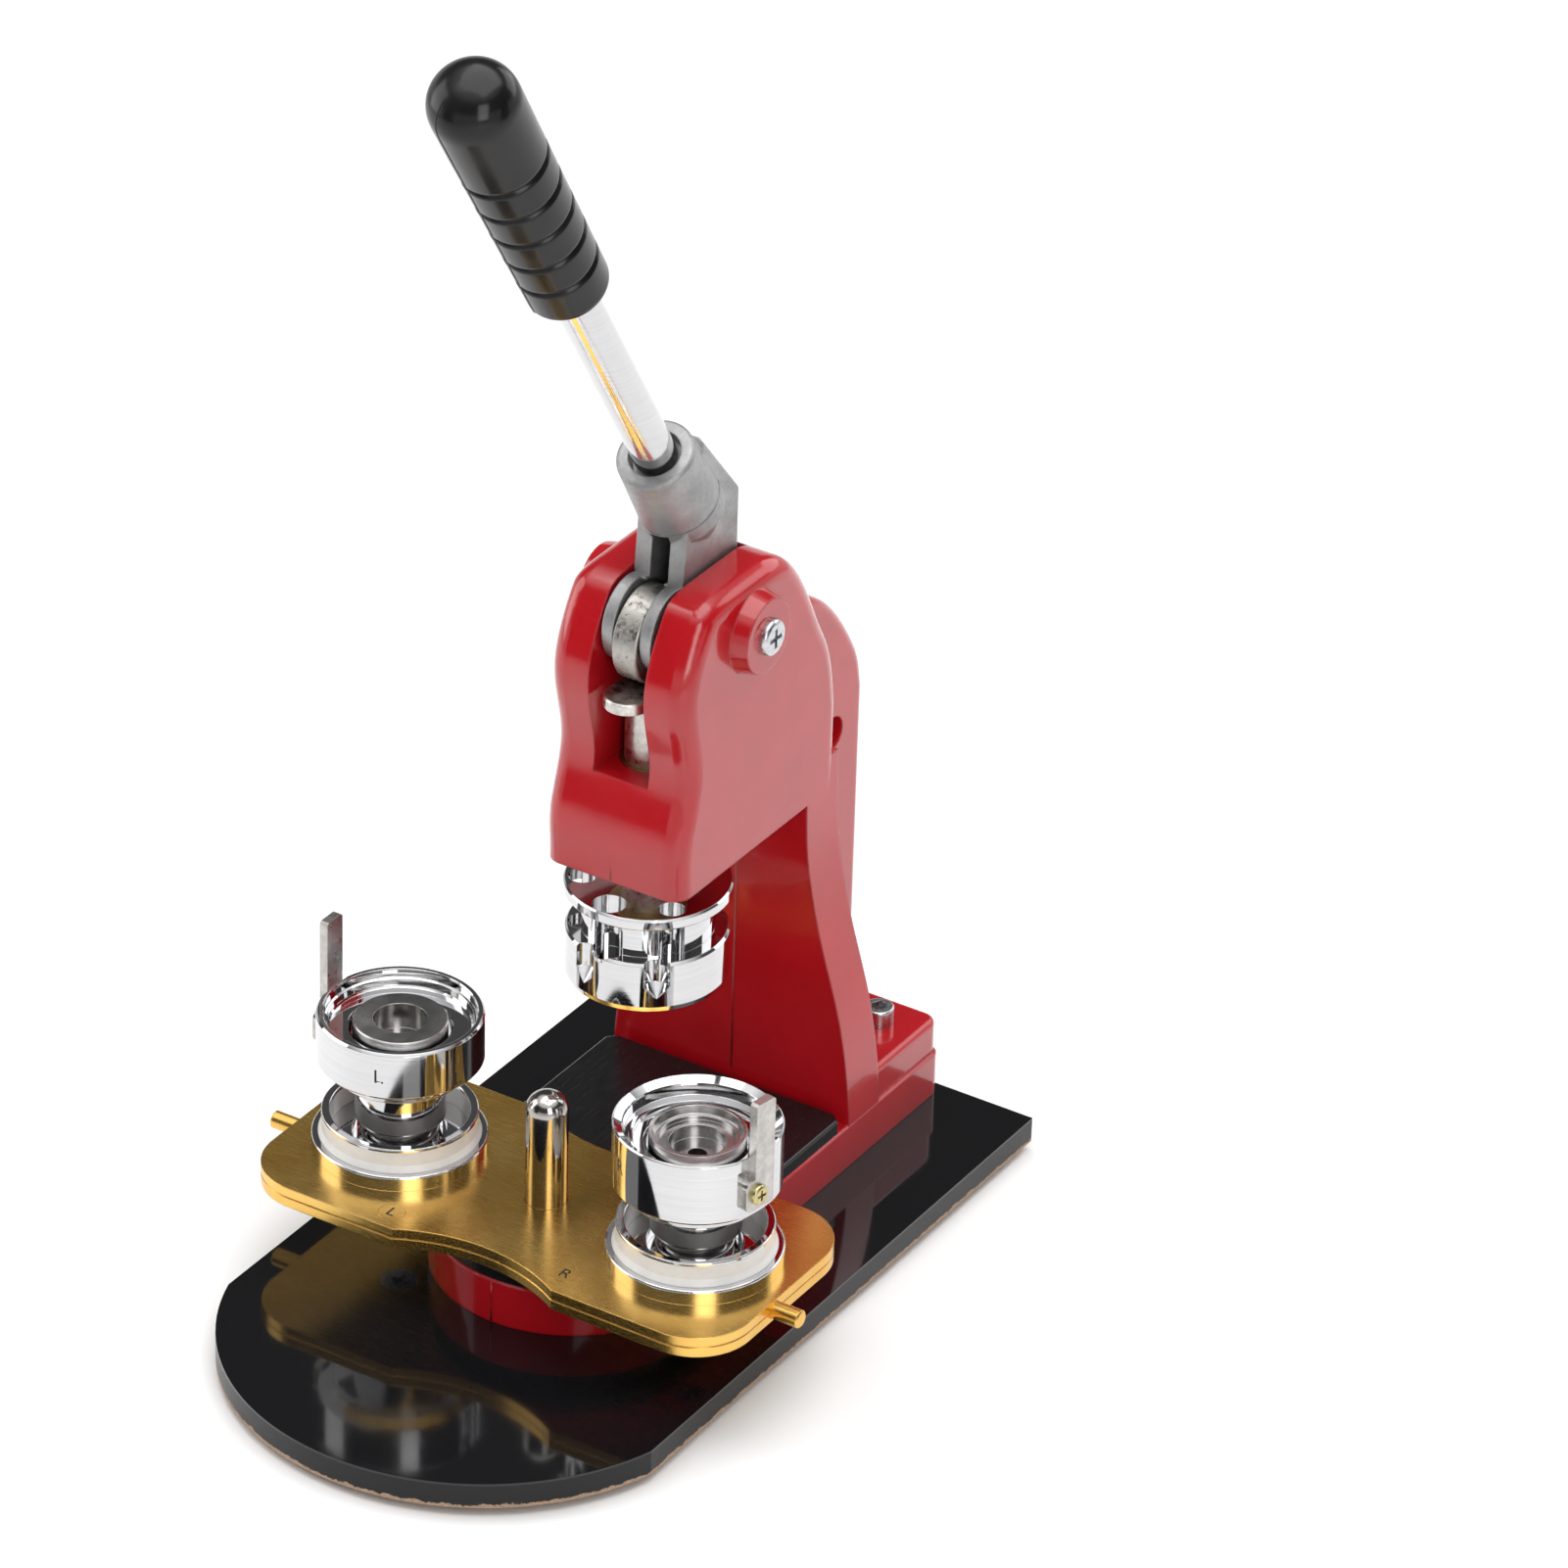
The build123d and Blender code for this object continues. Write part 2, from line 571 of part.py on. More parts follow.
def right_pedestal():
    """Fixed stepped disc on a stem that carries the back of the button."""
    points = [(3, DIE_BASE_TOP_Z), (STEM_RADIUS, DIE_BASE_TOP_Z), (STEM_RADIUS, PEDESTAL_HEAD_Z),
              (15.4, PEDESTAL_HEAD_Z), (15.4, 88.6), (14.2, 88.6), (13.4, 86.0), (12.0, 86.0),
              (12.0, 84.6), (9.0, 84.6), (9.0, 80), (3, 80)]
    return turned(points, DIE_X, PIVOT_Y)


def ring_skirt(bottom_z):
    """Lower outline of a moving ring: inner neck, lip and chamfer."""
    lip = bottom_z - 4.0
    return [(GROOVE_INNER, RING_SPRING_TOP_Z), (NECK_INNER, RING_SPRING_TOP_Z), (NECK_INNER, NECK_BOTTOM_Z),
            (NECK_OUTER, NECK_BOTTOM_Z), (NECK_OUTER, lip), (21.3, lip), (21.8, lip + 0.5),
            (21.8, lip + 1.5), (23.2, lip + 1.9), (23.2, lip + 2.6), (RING_RADIUS - 0.6, bottom_z + 0.6),
            (RING_RADIUS, bottom_z + 1.4)]


def left_ring():
    top = 92.0
    outline = [(RING_RADIUS, top - 0.7), (RING_RADIUS - 0.7, top), (24.8, top), (24.4, top - 0.5),
               (24.0, top - 2.6), (23.3, top - 3.0), (23.0, top - 5.0), (22.4, top - 5.6),
               (16.9, top - 5.6), (RING_BORE, top - 6.3), (RING_BORE, RING_STOP_Z),
               (GROOVE_INNER, RING_STOP_Z)]
    solid = turned(ring_skirt(74.5) + outline, -DIE_X, PIVOT_Y)
    return ring_details(solid, -1, top)


def right_ring():
    top = 92.2
    outline = [(RING_RADIUS, top - 0.5), (RING_RADIUS - 0.5, top), (23.8, top - 1.6), (23.5, top - 2.2),
               (23.3, top - 5.6), (20.4, top - 6.0), (20.2, top - 7.2), (17.0, top - 7.4),
               (RING_BORE, top - 8.0), (RING_BORE, RING_STOP_Z), (GROOVE_INNER, RING_STOP_Z)]
    solid = turned(ring_skirt(70.0) + outline, DIE_X, PIVOT_Y)
    return turned_ring_place(1) * ring_details(solid, 1, top)


def turned_ring_place(side):
    """The right ring and its tab stand a little turned about the die axis."""
    turn = RIGHT_RING_TURN if side > 0 else 0.0
    centre = Pos(side * DIE_X, PIVOT_Y, 0)
    return centre * Rot(0, 0, turn) * centre.inverse()


def ring_details(solid, side, top_z):
    """Flat for the tab and the tapped hole of its screw."""
    outside = side * (DIE_X + FLAT_OFFSET)
    low, high = sorted((outside, outside + side * 10))
    flat = block(low, high, PIVOT_Y - 20, PIVOT_Y + 20, NECK_BOTTOM_Z - 5, top_z + 5)
    screw_y, screw_z = tab_screw_place(side)
    low, high = sorted((side * (DIE_X + 20.5), side * (DIE_X + 30)))
    return solid - flat - cross_bar(screw_y, screw_z, 1.5, low, high)


def tab_screw_place(side):
    return PIVOT_Y - 3.0, TAB_SCREW_Z


def stop_tab(side):
    """Upright strip with a wider foot, screwed to the flat of the moving ring."""
    inner = side * (DIE_X + FLAT_OFFSET)
    outer = inner + side * TAB_THICKNESS
    low, high = sorted((inner, outer))
    half = TAB_WIDTH / 2
    top = TAB_TOP_Z if side < 0 else RIGHT_TAB_TOP_Z
    strip = block(low, high, PIVOT_Y - half, PIVOT_Y + half, TAB_BOTTOM_Z, top)
    strip = chamfer(strip.edges().filter_by(Axis.X).group_by(Axis.Z)[-1], 0.8)
    foot = block(low, high, PIVOT_Y - 8.2, PIVOT_Y + half, TAB_BOTTOM_Z, 85)
    foot = fillet(foot.edges().filter_by(Axis.X).group_by(Axis.Y)[0], 2.5)
    screw_y, screw_z = tab_screw_place(side)
    low, high = sorted((side * (DIE_X + 20), side * (DIE_X + 40)))
    tab = strip + foot - cross_bar(screw_y, screw_z, 1.5, low, high)
    return turned_ring_place(side) * tab


def tab_screw(side):
    screw = pan_head_screw(3.4, 1.8, 1.5, 6)
    screw_y, screw_z = tab_screw_place(side)
    x = side * (DIE_X + FLAT_OFFSET + TAB_THICKNESS)
    turn = 90 if side > 0 else -90
    return turned_ring_place(side) * Pos(x, screw_y, screw_z) * Rot(0, turn, 0) * screw


def ring_spring(side):
    spring = coil_spring(12.0, 0.7, GROOVE_BOTTOM_Z, RING_SPRING_TOP_Z, 7)
    return Pos(side * DIE_X, PIVOT_Y, 0) * spring


def die_screws():
    screws = []
    for side in (-1, 1):
        screw = Rot(180, 0, 0) * countersunk_screw(6, 3, 32)
        screws.append(Pos(side * DIE_X, PIVOT_Y, PLATE_BOTTOM_Z) * screw)
    return Compound(children=screws)


# ---------------------------------------------------------------- upper die
def rear_flat(solid):
    """Trim the back of an upper die piece so the stop tab passes behind it."""
    cut = block(-30, 30, RAM_Y + UPPER_REAR_FLAT, RAM_Y + 40, UPPER_LIP_Z - 5, UPPER_TOP_Z + 5)
    return solid - cut


def upper_die_body():
    """Chrome cup, waist and flange in one turned piece."""
    lip = UPPER_LIP_Z
    points = [(22.4, lip), (25.4, lip), (UPPER_CUP_RADIUS, lip + 2.0),
              (UPPER_CUP_RADIUS, UPPER_CUP_TOP_Z - 0.8), (25.4, UPPER_CUP_TOP_Z),
              (UPPER_WAIST_RADIUS, UPPER_CUP_TOP_Z), (UPPER_WAIST_RADIUS, UPPER_FLANGE_Z),
              (UPPER_FLANGE_RADIUS - 0.6, UPPER_FLANGE_Z), (UPPER_FLANGE_RADIUS, UPPER_FLANGE_Z + 0.6),
              (UPPER_FLANGE_RADIUS, UPPER_TOP_Z - 0.6), (UPPER_FLANGE_RADIUS - 0.6, UPPER_TOP_Z),
              (4, UPPER_TOP_Z), (4, 112.0), (22.0, 112.0)]
    solid = rear_flat(turned(points, 0, RAM_Y))
    return solid - flange_holes() - cup_scallops()


def cup_scallops():
    """Two blind grooves drilled down the outside of the cup, with pointed ends."""
    scallops = []
    for angle in (-50, -106):
        x = 26.6 * math.cos(math.radians(angle))
        y = RAM_Y + 26.6 * math.sin(math.radians(angle))
        straight = disc(x, y, 4.2, 108.0, UPPER_CUP_TOP_Z + 1)
        point = cone_frustum_z(x, y, 0.01, 4.2, 103.5, 108.0)
        scallops.append(straight + point)
    return scallops[0] + scallops[1]


def flange_holes():
    """Upright holes through the flange that also groove the waist."""
    cutters = []
    for angle, radius in ((-93, 5.4), (-36, 4.25), (-147, 4.5)):
        x = 20.8 * math.cos(math.radians(angle))
        y = RAM_Y + 20.8 * math.sin(math.radians(angle))
        cutters.append(disc(x, y, radius, UPPER_CUP_TOP_Z - 2, UPPER_TOP_Z + 1))
    return cutters[0] + cutters[1] + cutters[2]


def pressing_ring():
    """Hardened ring inside the cup that folds the shell."""
    points = [(17.0, 102.0), (21.2, 102.0), (22.0, 103.0), (22.0, 112.0), (17.0, 112.0)]
    return turned(points, 0, RAM_Y)


def upper_die_screw():
    """Socket screw that clamps the upper die to the ram."""
    low = 106.0
    head = disc(0, RAM_Y, 6.5, low, 112.0)
    head = head - Pos(0, RAM_Y, low) * Rot(180, 0, 0) * hexagon_cut(6, 3.5)
    return head + disc(0, RAM_Y, 4, 112.0, 155.0)


# ---------------------------------------------------------------- ram group
def ram():
    shaft = disc(0, RAM_Y, RAM_RADIUS, UPPER_TOP_Z, RAM_TOP_Z)
    shaft = shaft - disc(0, RAM_Y, 4, UPPER_TOP_Z - 1, 156.0)
    shaft = shaft - cross_bar(RAM_Y, COLLAR_BOTTOM_Z + COLLAR_THICKNESS / 2, 1.0, -20, 20)
    return shaft - wear_plate_screw_space()


WEAR_SCREW_HEAD_RADIUS = 4.0
WEAR_SCREW_RADIUS = 2.0
WEAR_SCREW_LENGTH = 16.0


def wear_plate_screw_space():
    space = countersunk_hole(WEAR_SCREW_HEAD_RADIUS, WEAR_SCREW_RADIUS, WEAR_SCREW_LENGTH)
    return Pos(0, RAM_Y, RAM_TOP_Z + WEAR_PLATE_THICKNESS) * space


def wear_plate():
    """Oblong plate that the roller presses on."""
    back = WEAR_PLATE_BACK_Y - WEAR_PLATE_RADIUS
    length = back - WEAR_PLATE_END_Y + 2 * WEAR_PLATE_RADIUS
    sketch = Rot(0, 0, 90) * SlotOverall(length, 2 * WEAR_PLATE_RADIUS)
    middle = (back + WEAR_PLATE_END_Y) / 2
    plate = Pos(0, middle, RAM_TOP_Z) * extrude(sketch, WEAR_PLATE_THICKNESS)
    plate = chamfer(plate.edges().group_by(Axis.Z)[-1], 0.5)
    return plate - wear_plate_screw_space()


def wear_plate_screw():
    screw = countersunk_screw(WEAR_SCREW_HEAD_RADIUS, WEAR_SCREW_RADIUS, WEAR_SCREW_LENGTH)
    return Pos(0, RAM_Y, RAM_TOP_Z + WEAR_PLATE_THICKNESS) * screw


def ram_collar():
    top = COLLAR_BOTTOM_Z + COLLAR_THICKNESS
    solid = ring(0, RAM_Y, COLLAR_RADIUS, RAM_RADIUS, COLLAR_BOTTOM_Z, top)
    return solid - cross_bar(RAM_Y, COLLAR_BOTTOM_Z + COLLAR_THICKNESS / 2, 1.0, -20, 20)


def collar_pin():
    return cross_bar(RAM_Y, COLLAR_BOTTOM_Z + COLLAR_THICKNESS / 2, 1.0, -11.7, 11.7)


def return_spring():
    spring = coil_spring(10.6, 0.9, POCKET_BOTTOM_Z, COLLAR_BOTTOM_Z, 3.5)
    return Pos(0, RAM_Y, 0) * spring


def upper_ram_bush():
    return ring(0, RAM_Y, BUSH_RADIUS, RAM_BORE_RADIUS, POCKET_TOP_Z, SLOT_FLOOR_Z)


def lower_ram_bush():
    low = HEAD_BOTTOM_Z - 0.5
    solid = ring(0, RAM_Y, POCKET_RADIUS, RAM_BORE_RADIUS, low, POCKET_BOTTOM_Z)
    return solid


# ---------------------------------------------------------------- lever group
def lever_place(distance):
    """Point on the lever's centre line, measured from the foot of its socket."""
    tilt = math.radians(LEVER_TILT)
    y = SOCKET_FOOT_Y - distance * math.sin(tilt)
    z = SOCKET_FOOT_Z + distance * math.cos(tilt)
    return y, z


def along_lever(solid):
    """Stand a solid built on z = 0 on the foot of the lever socket."""
    return Pos(0, SOCKET_FOOT_Y, SOCKET_FOOT_Z) * Rot(LEVER_TILT, 0, 0) * solid


def lever_fork():
    """Cast fork: round socket, flat neck, axle hub and two arms for the roller."""
    taper = 8.0
    points = [(0, 0), (9.5, 0), (SOCKET_FOOT_RADIUS, taper), (SOCKET_TOP_RADIUS, SOCKET_LENGTH - 1),
              (SOCKET_TOP_RADIUS - 1, SOCKET_LENGTH), (0, SOCKET_LENGTH)]
    socket = along_lever(turned(points))
    neck_outline = Polyline((66.5, 226), (66.5, 260.5), (44.5, 286.5), (36, 268), (33.5, 240), (40, 226),
                            close=True)
    neck = extrude(Plane.YZ * make_face(neck_outline), FORK_HALF_WIDTH, both=True)
    rear_edges = neck.edges().filter_by(lambda e: e.center().Y > 50 and abs(e.center().X) > 8)
    neck = fillet(rear_edges, 3.0)
    hub = cross_bar(AXLE_Y, AXLE_Z, HUB_RADIUS, -FORK_HALF_WIDTH, FORK_HALF_WIDTH)
    arm_end = cross_bar(ROLLER_Y, 226, ARM_END_RADIUS, -FORK_HALF_WIDTH, FORK_HALF_WIDTH)
    joint = block(-FORK_HALF_WIDTH, FORK_HALF_WIDTH, ROLLER_Y, AXLE_Y, 212.2, 239.5)
    body = socket + neck + hub + arm_end + joint
    gap = cross_bar(ROLLER_Y, ROLLER_Z, ROLLER_RADIUS + 1.2, -FORK_GAP_HALF_WIDTH, FORK_GAP_HALF_WIDTH)
    gap = gap + block(-FORK_GAP_HALF_WIDTH, FORK_GAP_HALF_WIDTH, 0, ROLLER_Y + 2, 190, 241)
    gap = gap + block(-3.4, 3.4, 20, 50, 232, 256)
    body = body - gap
    body = body - cross_bar(AXLE_Y, AXLE_Z, AXLE_RADIUS + 0.05, -20, 20)
    body = body - cross_bar(ROLLER_Y, ROLLER_Z, ROLLER_PIN_RADIUS, -20, 20)
    counterbore = Pos(0, 0, SOCKET_LENGTH - 2) * Cylinder(8.5, 6)
    bore = Pos(0, 0, SOCKET_LENGTH - 12) * Cylinder(ROD_RADIUS, 26)
    return body - along_lever(bore) - along_lever(counterbore)


def lever_rod():
    start = SOCKET_LENGTH - 25
    end = SOCKET_LENGTH + ROD_VISIBLE_LENGTH + 80
    rod = Pos(0, 0, (start + end) / 2) * Cylinder(ROD_RADIUS, end - start)
    rod = chamfer(rod.edges().filter_by(GeomType.CIRCLE), 0.8)
    return along_lever(rod)


def lever_grip():
    """Moulded grip pushed over the rod, with ring grooves round its lower half."""
    low = SOCKET_LENGTH + ROD_VISIBLE_LENGTH
    high = low + GRIP_LENGTH
    dome_start = high - 14.0
    side = Spline((13.2, low + 2), (13.5, low + 50), (14.4, dome_start), tangents=[(0, 1), (0, 1)])
    dome = Spline((14.4, dome_start), (11.0, high - 4.0), (0, high), tangents=[(0, 1), (-1, 0)])
    start = Polyline((0, high), (0, low), (12.2, low), (13.2, low + 2))
    solid = revolve(Plane.XZ * make_face([side, dome, start]), Axis.Z)
    bore = Pos(0, 0, low + 40) * Cylinder(ROD_RADIUS, 80)
    return along_lever(solid - bore)


def lever_axle():
    return cross_bar(AXLE_Y, AXLE_Z, AXLE_RADIUS, -BOSS_FACE_X, BOSS_FACE_X) - axle_taps()


def axle_taps():
    taps = cross_bar(AXLE_Y, AXLE_Z, AXLE_TAP_RADIUS, BOSS_FACE_X - 10, BOSS_FACE_X + 1)
    return taps + cross_bar(AXLE_Y, AXLE_Z, AXLE_TAP_RADIUS, -BOSS_FACE_X - 1, -BOSS_FACE_X + 10)


def axle_screws():
    screws = []
    for side in (-1, 1):
        screw = pan_head_screw(6.1, 2.6, AXLE_TAP_RADIUS, 10)
        turn = 90 if side > 0 else -90
        screws.append(Pos(side * BOSS_FACE_X, AXLE_Y, AXLE_Z) * Rot(0, turn, 0) * screw)
    return Compound(children=screws)


def roller():
    solid = cross_bar(ROLLER_Y, ROLLER_Z, ROLLER_RADIUS, -ROLLER_HALF_WIDTH, ROLLER_HALF_WIDTH)
    solid = chamfer(solid.edges().filter_by(GeomType.CIRCLE), 0.5)
    return solid - cross_bar(ROLLER_Y, ROLLER_Z, ROLLER_PIN_RADIUS + 0.05, -10, 10)


def roller_pin():
    pin = cross_bar(ROLLER_Y, ROLLER_Z, ROLLER_PIN_RADIUS, -FORK_HALF_WIDTH, FORK_HALF_WIDTH)
    return chamfer(pin.edges().filter_by(GeomType.CIRCLE), 0.4)


# ---------------------------------------------------------------- export
PARTS = {
    "base_board_core": board_core,
    "base_board_laminate": board_laminate,
    "rubber_feet": rubber_feet,
    "foot_screws": foot_screws,
    "frame_casting": frame_casting,
    "base_pad": base_pad,
    "frame_bolts": frame_bolts,
    "frame_nuts": frame_nuts,
    "frame_washers": frame_washers,
    "pivot_post": pivot_post,
    "pivot_screw": pivot_screw,
    "thrust_washer": thrust_washer,
    "detent_ball": detent_ball,
    "detent_spring": detent_spring,
    "turntable_plate": turntable_plate,
    "turntable_pins": turntable_pins,
    "die_screws": die_screws,
    "left_pedestal": left_pedestal,
    "right_pedestal": right_pedestal,
    "upper_die_body": upper_die_body,
    "pressing_ring": pressing_ring,
    "upper_die_screw": upper_die_screw,
    "ram": ram,
    "wear_plate": wear_plate,
    "wear_plate_screw": wear_plate_screw,
    "ram_collar": ram_collar,
    "collar_pin": collar_pin,
    "return_spring": return_spring,
    "upper_ram_bush": upper_ram_bush,
    "lower_ram_bush": lower_ram_bush,
    "lever_fork": lever_fork,
    "lever_rod": lever_rod,
    "lever_grip": lever_grip,
    "lever_axle": lever_axle,
    "axle_screws": axle_screws,
    "roller": roller,
    "roller_pin": roller_pin,
}

for name, make in PARTS.items():
    export_step(make(), f"parts/{name}.step")
    print(name)

for word, side in (("left", -1), ("right", 1)):
    export_step(die_base(side), f"parts/{word}_die_base.step")
    export_step(die_sleeve(side), f"parts/{word}_die_sleeve.step")
    export_step(die_rim(side), f"parts/{word}_die_rim.step")
    export_step(stop_tab(side), f"parts/{word}_tab.step")
    export_step(tab_screw(side), f"parts/{word}_tab_screw.step")
    export_step(ring_spring(side), f"parts/{word}_ring_spring.step")
    print(word, "die pieces")

export_step(left_ring(), "parts/left_ring.step")
export_step(right_ring(), "parts/right_ring.step")
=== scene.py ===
# %% [markdown]
# # Button badge maker
#
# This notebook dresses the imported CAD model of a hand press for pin-back badges. The press has a red
# cast frame on a black board, a lever that drives a ram, and a turntable with two lower dies.
# Lengths are in metres. X is to the operator's right, Y to the back and Z up.

import json
import math

import bmesh
import bpy
from mathutils import Matrix, Vector

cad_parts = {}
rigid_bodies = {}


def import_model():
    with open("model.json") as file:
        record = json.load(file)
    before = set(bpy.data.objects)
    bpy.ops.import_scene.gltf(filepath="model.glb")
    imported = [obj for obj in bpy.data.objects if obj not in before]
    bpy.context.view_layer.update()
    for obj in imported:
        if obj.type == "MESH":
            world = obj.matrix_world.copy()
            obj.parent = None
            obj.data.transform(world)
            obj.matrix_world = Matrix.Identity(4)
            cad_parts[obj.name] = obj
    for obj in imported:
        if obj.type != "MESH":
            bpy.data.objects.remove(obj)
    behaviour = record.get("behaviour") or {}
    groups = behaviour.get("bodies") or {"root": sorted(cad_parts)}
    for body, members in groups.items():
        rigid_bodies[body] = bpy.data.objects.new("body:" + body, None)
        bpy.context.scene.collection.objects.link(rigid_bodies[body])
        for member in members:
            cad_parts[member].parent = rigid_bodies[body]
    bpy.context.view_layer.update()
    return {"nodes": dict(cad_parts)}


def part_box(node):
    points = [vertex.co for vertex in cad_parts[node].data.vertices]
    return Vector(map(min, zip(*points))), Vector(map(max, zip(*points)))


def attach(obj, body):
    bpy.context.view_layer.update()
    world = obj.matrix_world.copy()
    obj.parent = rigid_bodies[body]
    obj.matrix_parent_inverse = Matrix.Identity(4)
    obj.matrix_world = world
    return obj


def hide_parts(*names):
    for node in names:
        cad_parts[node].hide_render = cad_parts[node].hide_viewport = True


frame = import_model()
nodes = frame["nodes"]
mm = 0.001
print("CAD pieces:", len(nodes))

# %% [markdown]
# ## A small vocabulary for finishes
#
# Every finish is built from the same few ideas: a base colour that varies a little, a roughness that
# varies with smudges, and a bump that carries grain, brushing or casting texture. The coordinates
# are the piece's own, in metres, so a noise scale of 1000 has features about a millimetre wide.
# Functions keep this short: each one adds a few nodes and returns the socket to link onwards.

# %% Finish helpers
def new_finish(name, color, metallic=0.0, roughness=0.4, coat=0.0):
    """A material with its main shader; returns the material, its tree and the shader."""
    material = bpy.data.materials.new(name)
    material.use_nodes = True
    tree = material.node_tree
    shader = tree.nodes["Principled BSDF"]
    shader.inputs["Base Color"].default_value = (*color, 1.0)
    shader.inputs["Metallic"].default_value = metallic
    shader.inputs["Roughness"].default_value = roughness
    shader.inputs["Coat Weight"].default_value = coat
    shader.inputs["Coat Roughness"].default_value = 0.04
    return material, tree, shader


def object_space(tree, stretch=(1.0, 1.0, 1.0), turn=(0.0, 0.0, 0.0)):
    """The piece's own coordinates, stretched so that a pattern can run along one direction."""
    coordinates = tree.nodes.new("ShaderNodeTexCoord")
    mapping = tree.nodes.new("ShaderNodeMapping")
    mapping.inputs["Scale"].default_value = stretch
    mapping.inputs["Rotation"].default_value = turn
    tree.links.new(coordinates.outputs["Object"], mapping.inputs["Vector"])
    return mapping.outputs["Vector"]


def noise(tree, vector, scale, detail=4.0, roughness=0.6):
    node = tree.nodes.new("ShaderNodeTexNoise")
    node.inputs["Scale"].default_value = scale
    node.inputs["Detail"].default_value = detail
    node.inputs["Roughness"].default_value = roughness
    tree.links.new(vector, node.inputs["Vector"])
    return node.outputs["Fac"]


def ramp(tree, value, low, high, at_low, at_high):
    """Maps a value between two limits onto a range."""
    node = tree.nodes.new("ShaderNodeMapRange")
    node.inputs["From Min"].default_value = low
    node.inputs["From Max"].default_value = high
    node.inputs["To Min"].default_value = at_low
    node.inputs["To Max"].default_value = at_high
    tree.links.new(value, node.inputs["Value"])
    return node.outputs["Result"]


def blend_colors(tree, factor, first, second):
    """Mixes two plain colours, or colour sockets, by a factor."""
    node = tree.nodes.new("ShaderNodeMix")
    node.data_type = "RGBA"
    tree.links.new(factor, node.inputs["Factor"])
    for socket, value in ((node.inputs[6], first), (node.inputs[7], second)):
        if isinstance(value, tuple):
            socket.default_value = (*value, 1.0)
        else:
            tree.links.new(value, socket)
    return node.outputs[2]


def bump(tree, shader, height, distance, strength=1.0, rounded=0.0):
    """Adds relief of a given depth, over edges softened by a small radius."""
    node = tree.nodes.new("ShaderNodeBump")
    node.inputs["Distance"].default_value = distance
    node.inputs["Strength"].default_value = strength
    tree.links.new(height, node.inputs["Height"])
    if rounded:
        bevel = tree.nodes.new("ShaderNodeBevel")
        bevel.samples = 4
        bevel.inputs["Radius"].default_value = rounded
        tree.links.new(bevel.outputs["Normal"], node.inputs["Normal"])
    tree.links.new(node.outputs["Normal"], shader.inputs["Normal"])
    return node


def edge_mask(tree, radius):
    """One where the surface bends sharply, from the cosine between true and softened normals."""
    bevel = tree.nodes.new("ShaderNodeBevel")
    bevel.samples = 4
    bevel.inputs["Radius"].default_value = radius
    geometry = tree.nodes.new("ShaderNodeNewGeometry")
    dot = tree.nodes.new("ShaderNodeVectorMath")
    dot.operation = "DOT_PRODUCT"
    tree.links.new(bevel.outputs["Normal"], dot.inputs[0])
    tree.links.new(geometry.outputs["True Normal"], dot.inputs[1])
    return ramp(tree, dot.outputs["Value"], 0.985, 0.90, 0.0, 1.0)


def multiply(tree, first, second):
    node = tree.nodes.new("ShaderNodeMath")
    node.operation = "MULTIPLY"
    tree.links.new(first, node.inputs[0])
    if isinstance(second, float):
        node.inputs[1].default_value = second
    else:
        tree.links.new(second, node.inputs[1])
    return node.outputs[0]


print("helpers ready")

# %% [markdown]
# ## Red enamel
#
# The frame is an iron sand casting, fettled and sprayed with a thick gloss enamel. The film is
# smooth, but it follows the slow waviness of the casting, so reflections bend. It also runs thin on
# the sharp edges, where a slightly darker red shows.

# %% Red enamel
red, tree, shader = new_finish("red_enamel", (0.42, 0.006, 0.011), roughness=0.18, coat=0.5)
space = object_space(tree)
slow = noise(tree, space, 45.0, 2.0)
fine = noise(tree, space, 900.0, 3.0)
film = blend_colors(tree, ramp(tree, slow, 0.35, 0.65, 0.0, 1.0), (0.42, 0.006, 0.011), (0.46, 0.007, 0.013))
thin = blend_colors(tree, multiply(tree, edge_mask(tree, 0.7 * mm), 0.45), film, (0.25, 0.004, 0.007))
tree.links.new(thin, shader.inputs["Base Color"])
tree.links.new(ramp(tree, fine, 0.3, 0.7, 0.12, 0.22), shader.inputs["Roughness"])
bump(tree, shader, slow, 0.5 * mm, 0.25, rounded=1.2 * mm)
print("finish:", red.name)

# %% [markdown]
# ## Black laminate
#
# The board is faced with a hard black laminate that is almost a mirror. It could be plain black and
# smooth, but then it would look like a hole, so faint smudges vary its roughness and a few pale
# scuffs run across it.

# %% Black laminate
laminate, tree, shader = new_finish("black_laminate", (0.006, 0.006, 0.007), roughness=0.05, coat=0.15)
space = object_space(tree)
smudge = noise(tree, space, 28.0, 5.0)
scuff = noise(tree, object_space(tree, (1.0, 14.0, 1.0), (0.0, 0.0, 0.5)), 160.0, 6.0, 0.7)
tree.links.new(ramp(tree, smudge, 0.35, 0.75, 0.035, 0.12), shader.inputs["Roughness"])
dust = blend_colors(tree, ramp(tree, scuff, 0.68, 0.80, 0.0, 0.25), (0.006, 0.006, 0.007), (0.03, 0.03, 0.03))
tree.links.new(dust, shader.inputs["Base Color"])
bump(tree, shader, smudge, 0.02 * mm, 0.3)

print("finish:", laminate.name)

# %% [markdown]
# ## Edge of the board
#
# The core is pressed wood fibre, and its cut edge is painted black. Only the lowest millimetre or two
# is bare, where the saw tore brown fibres out of it. Height decides between paint and fibre, and a
# noise makes the border ragged, so no second mesh is needed.

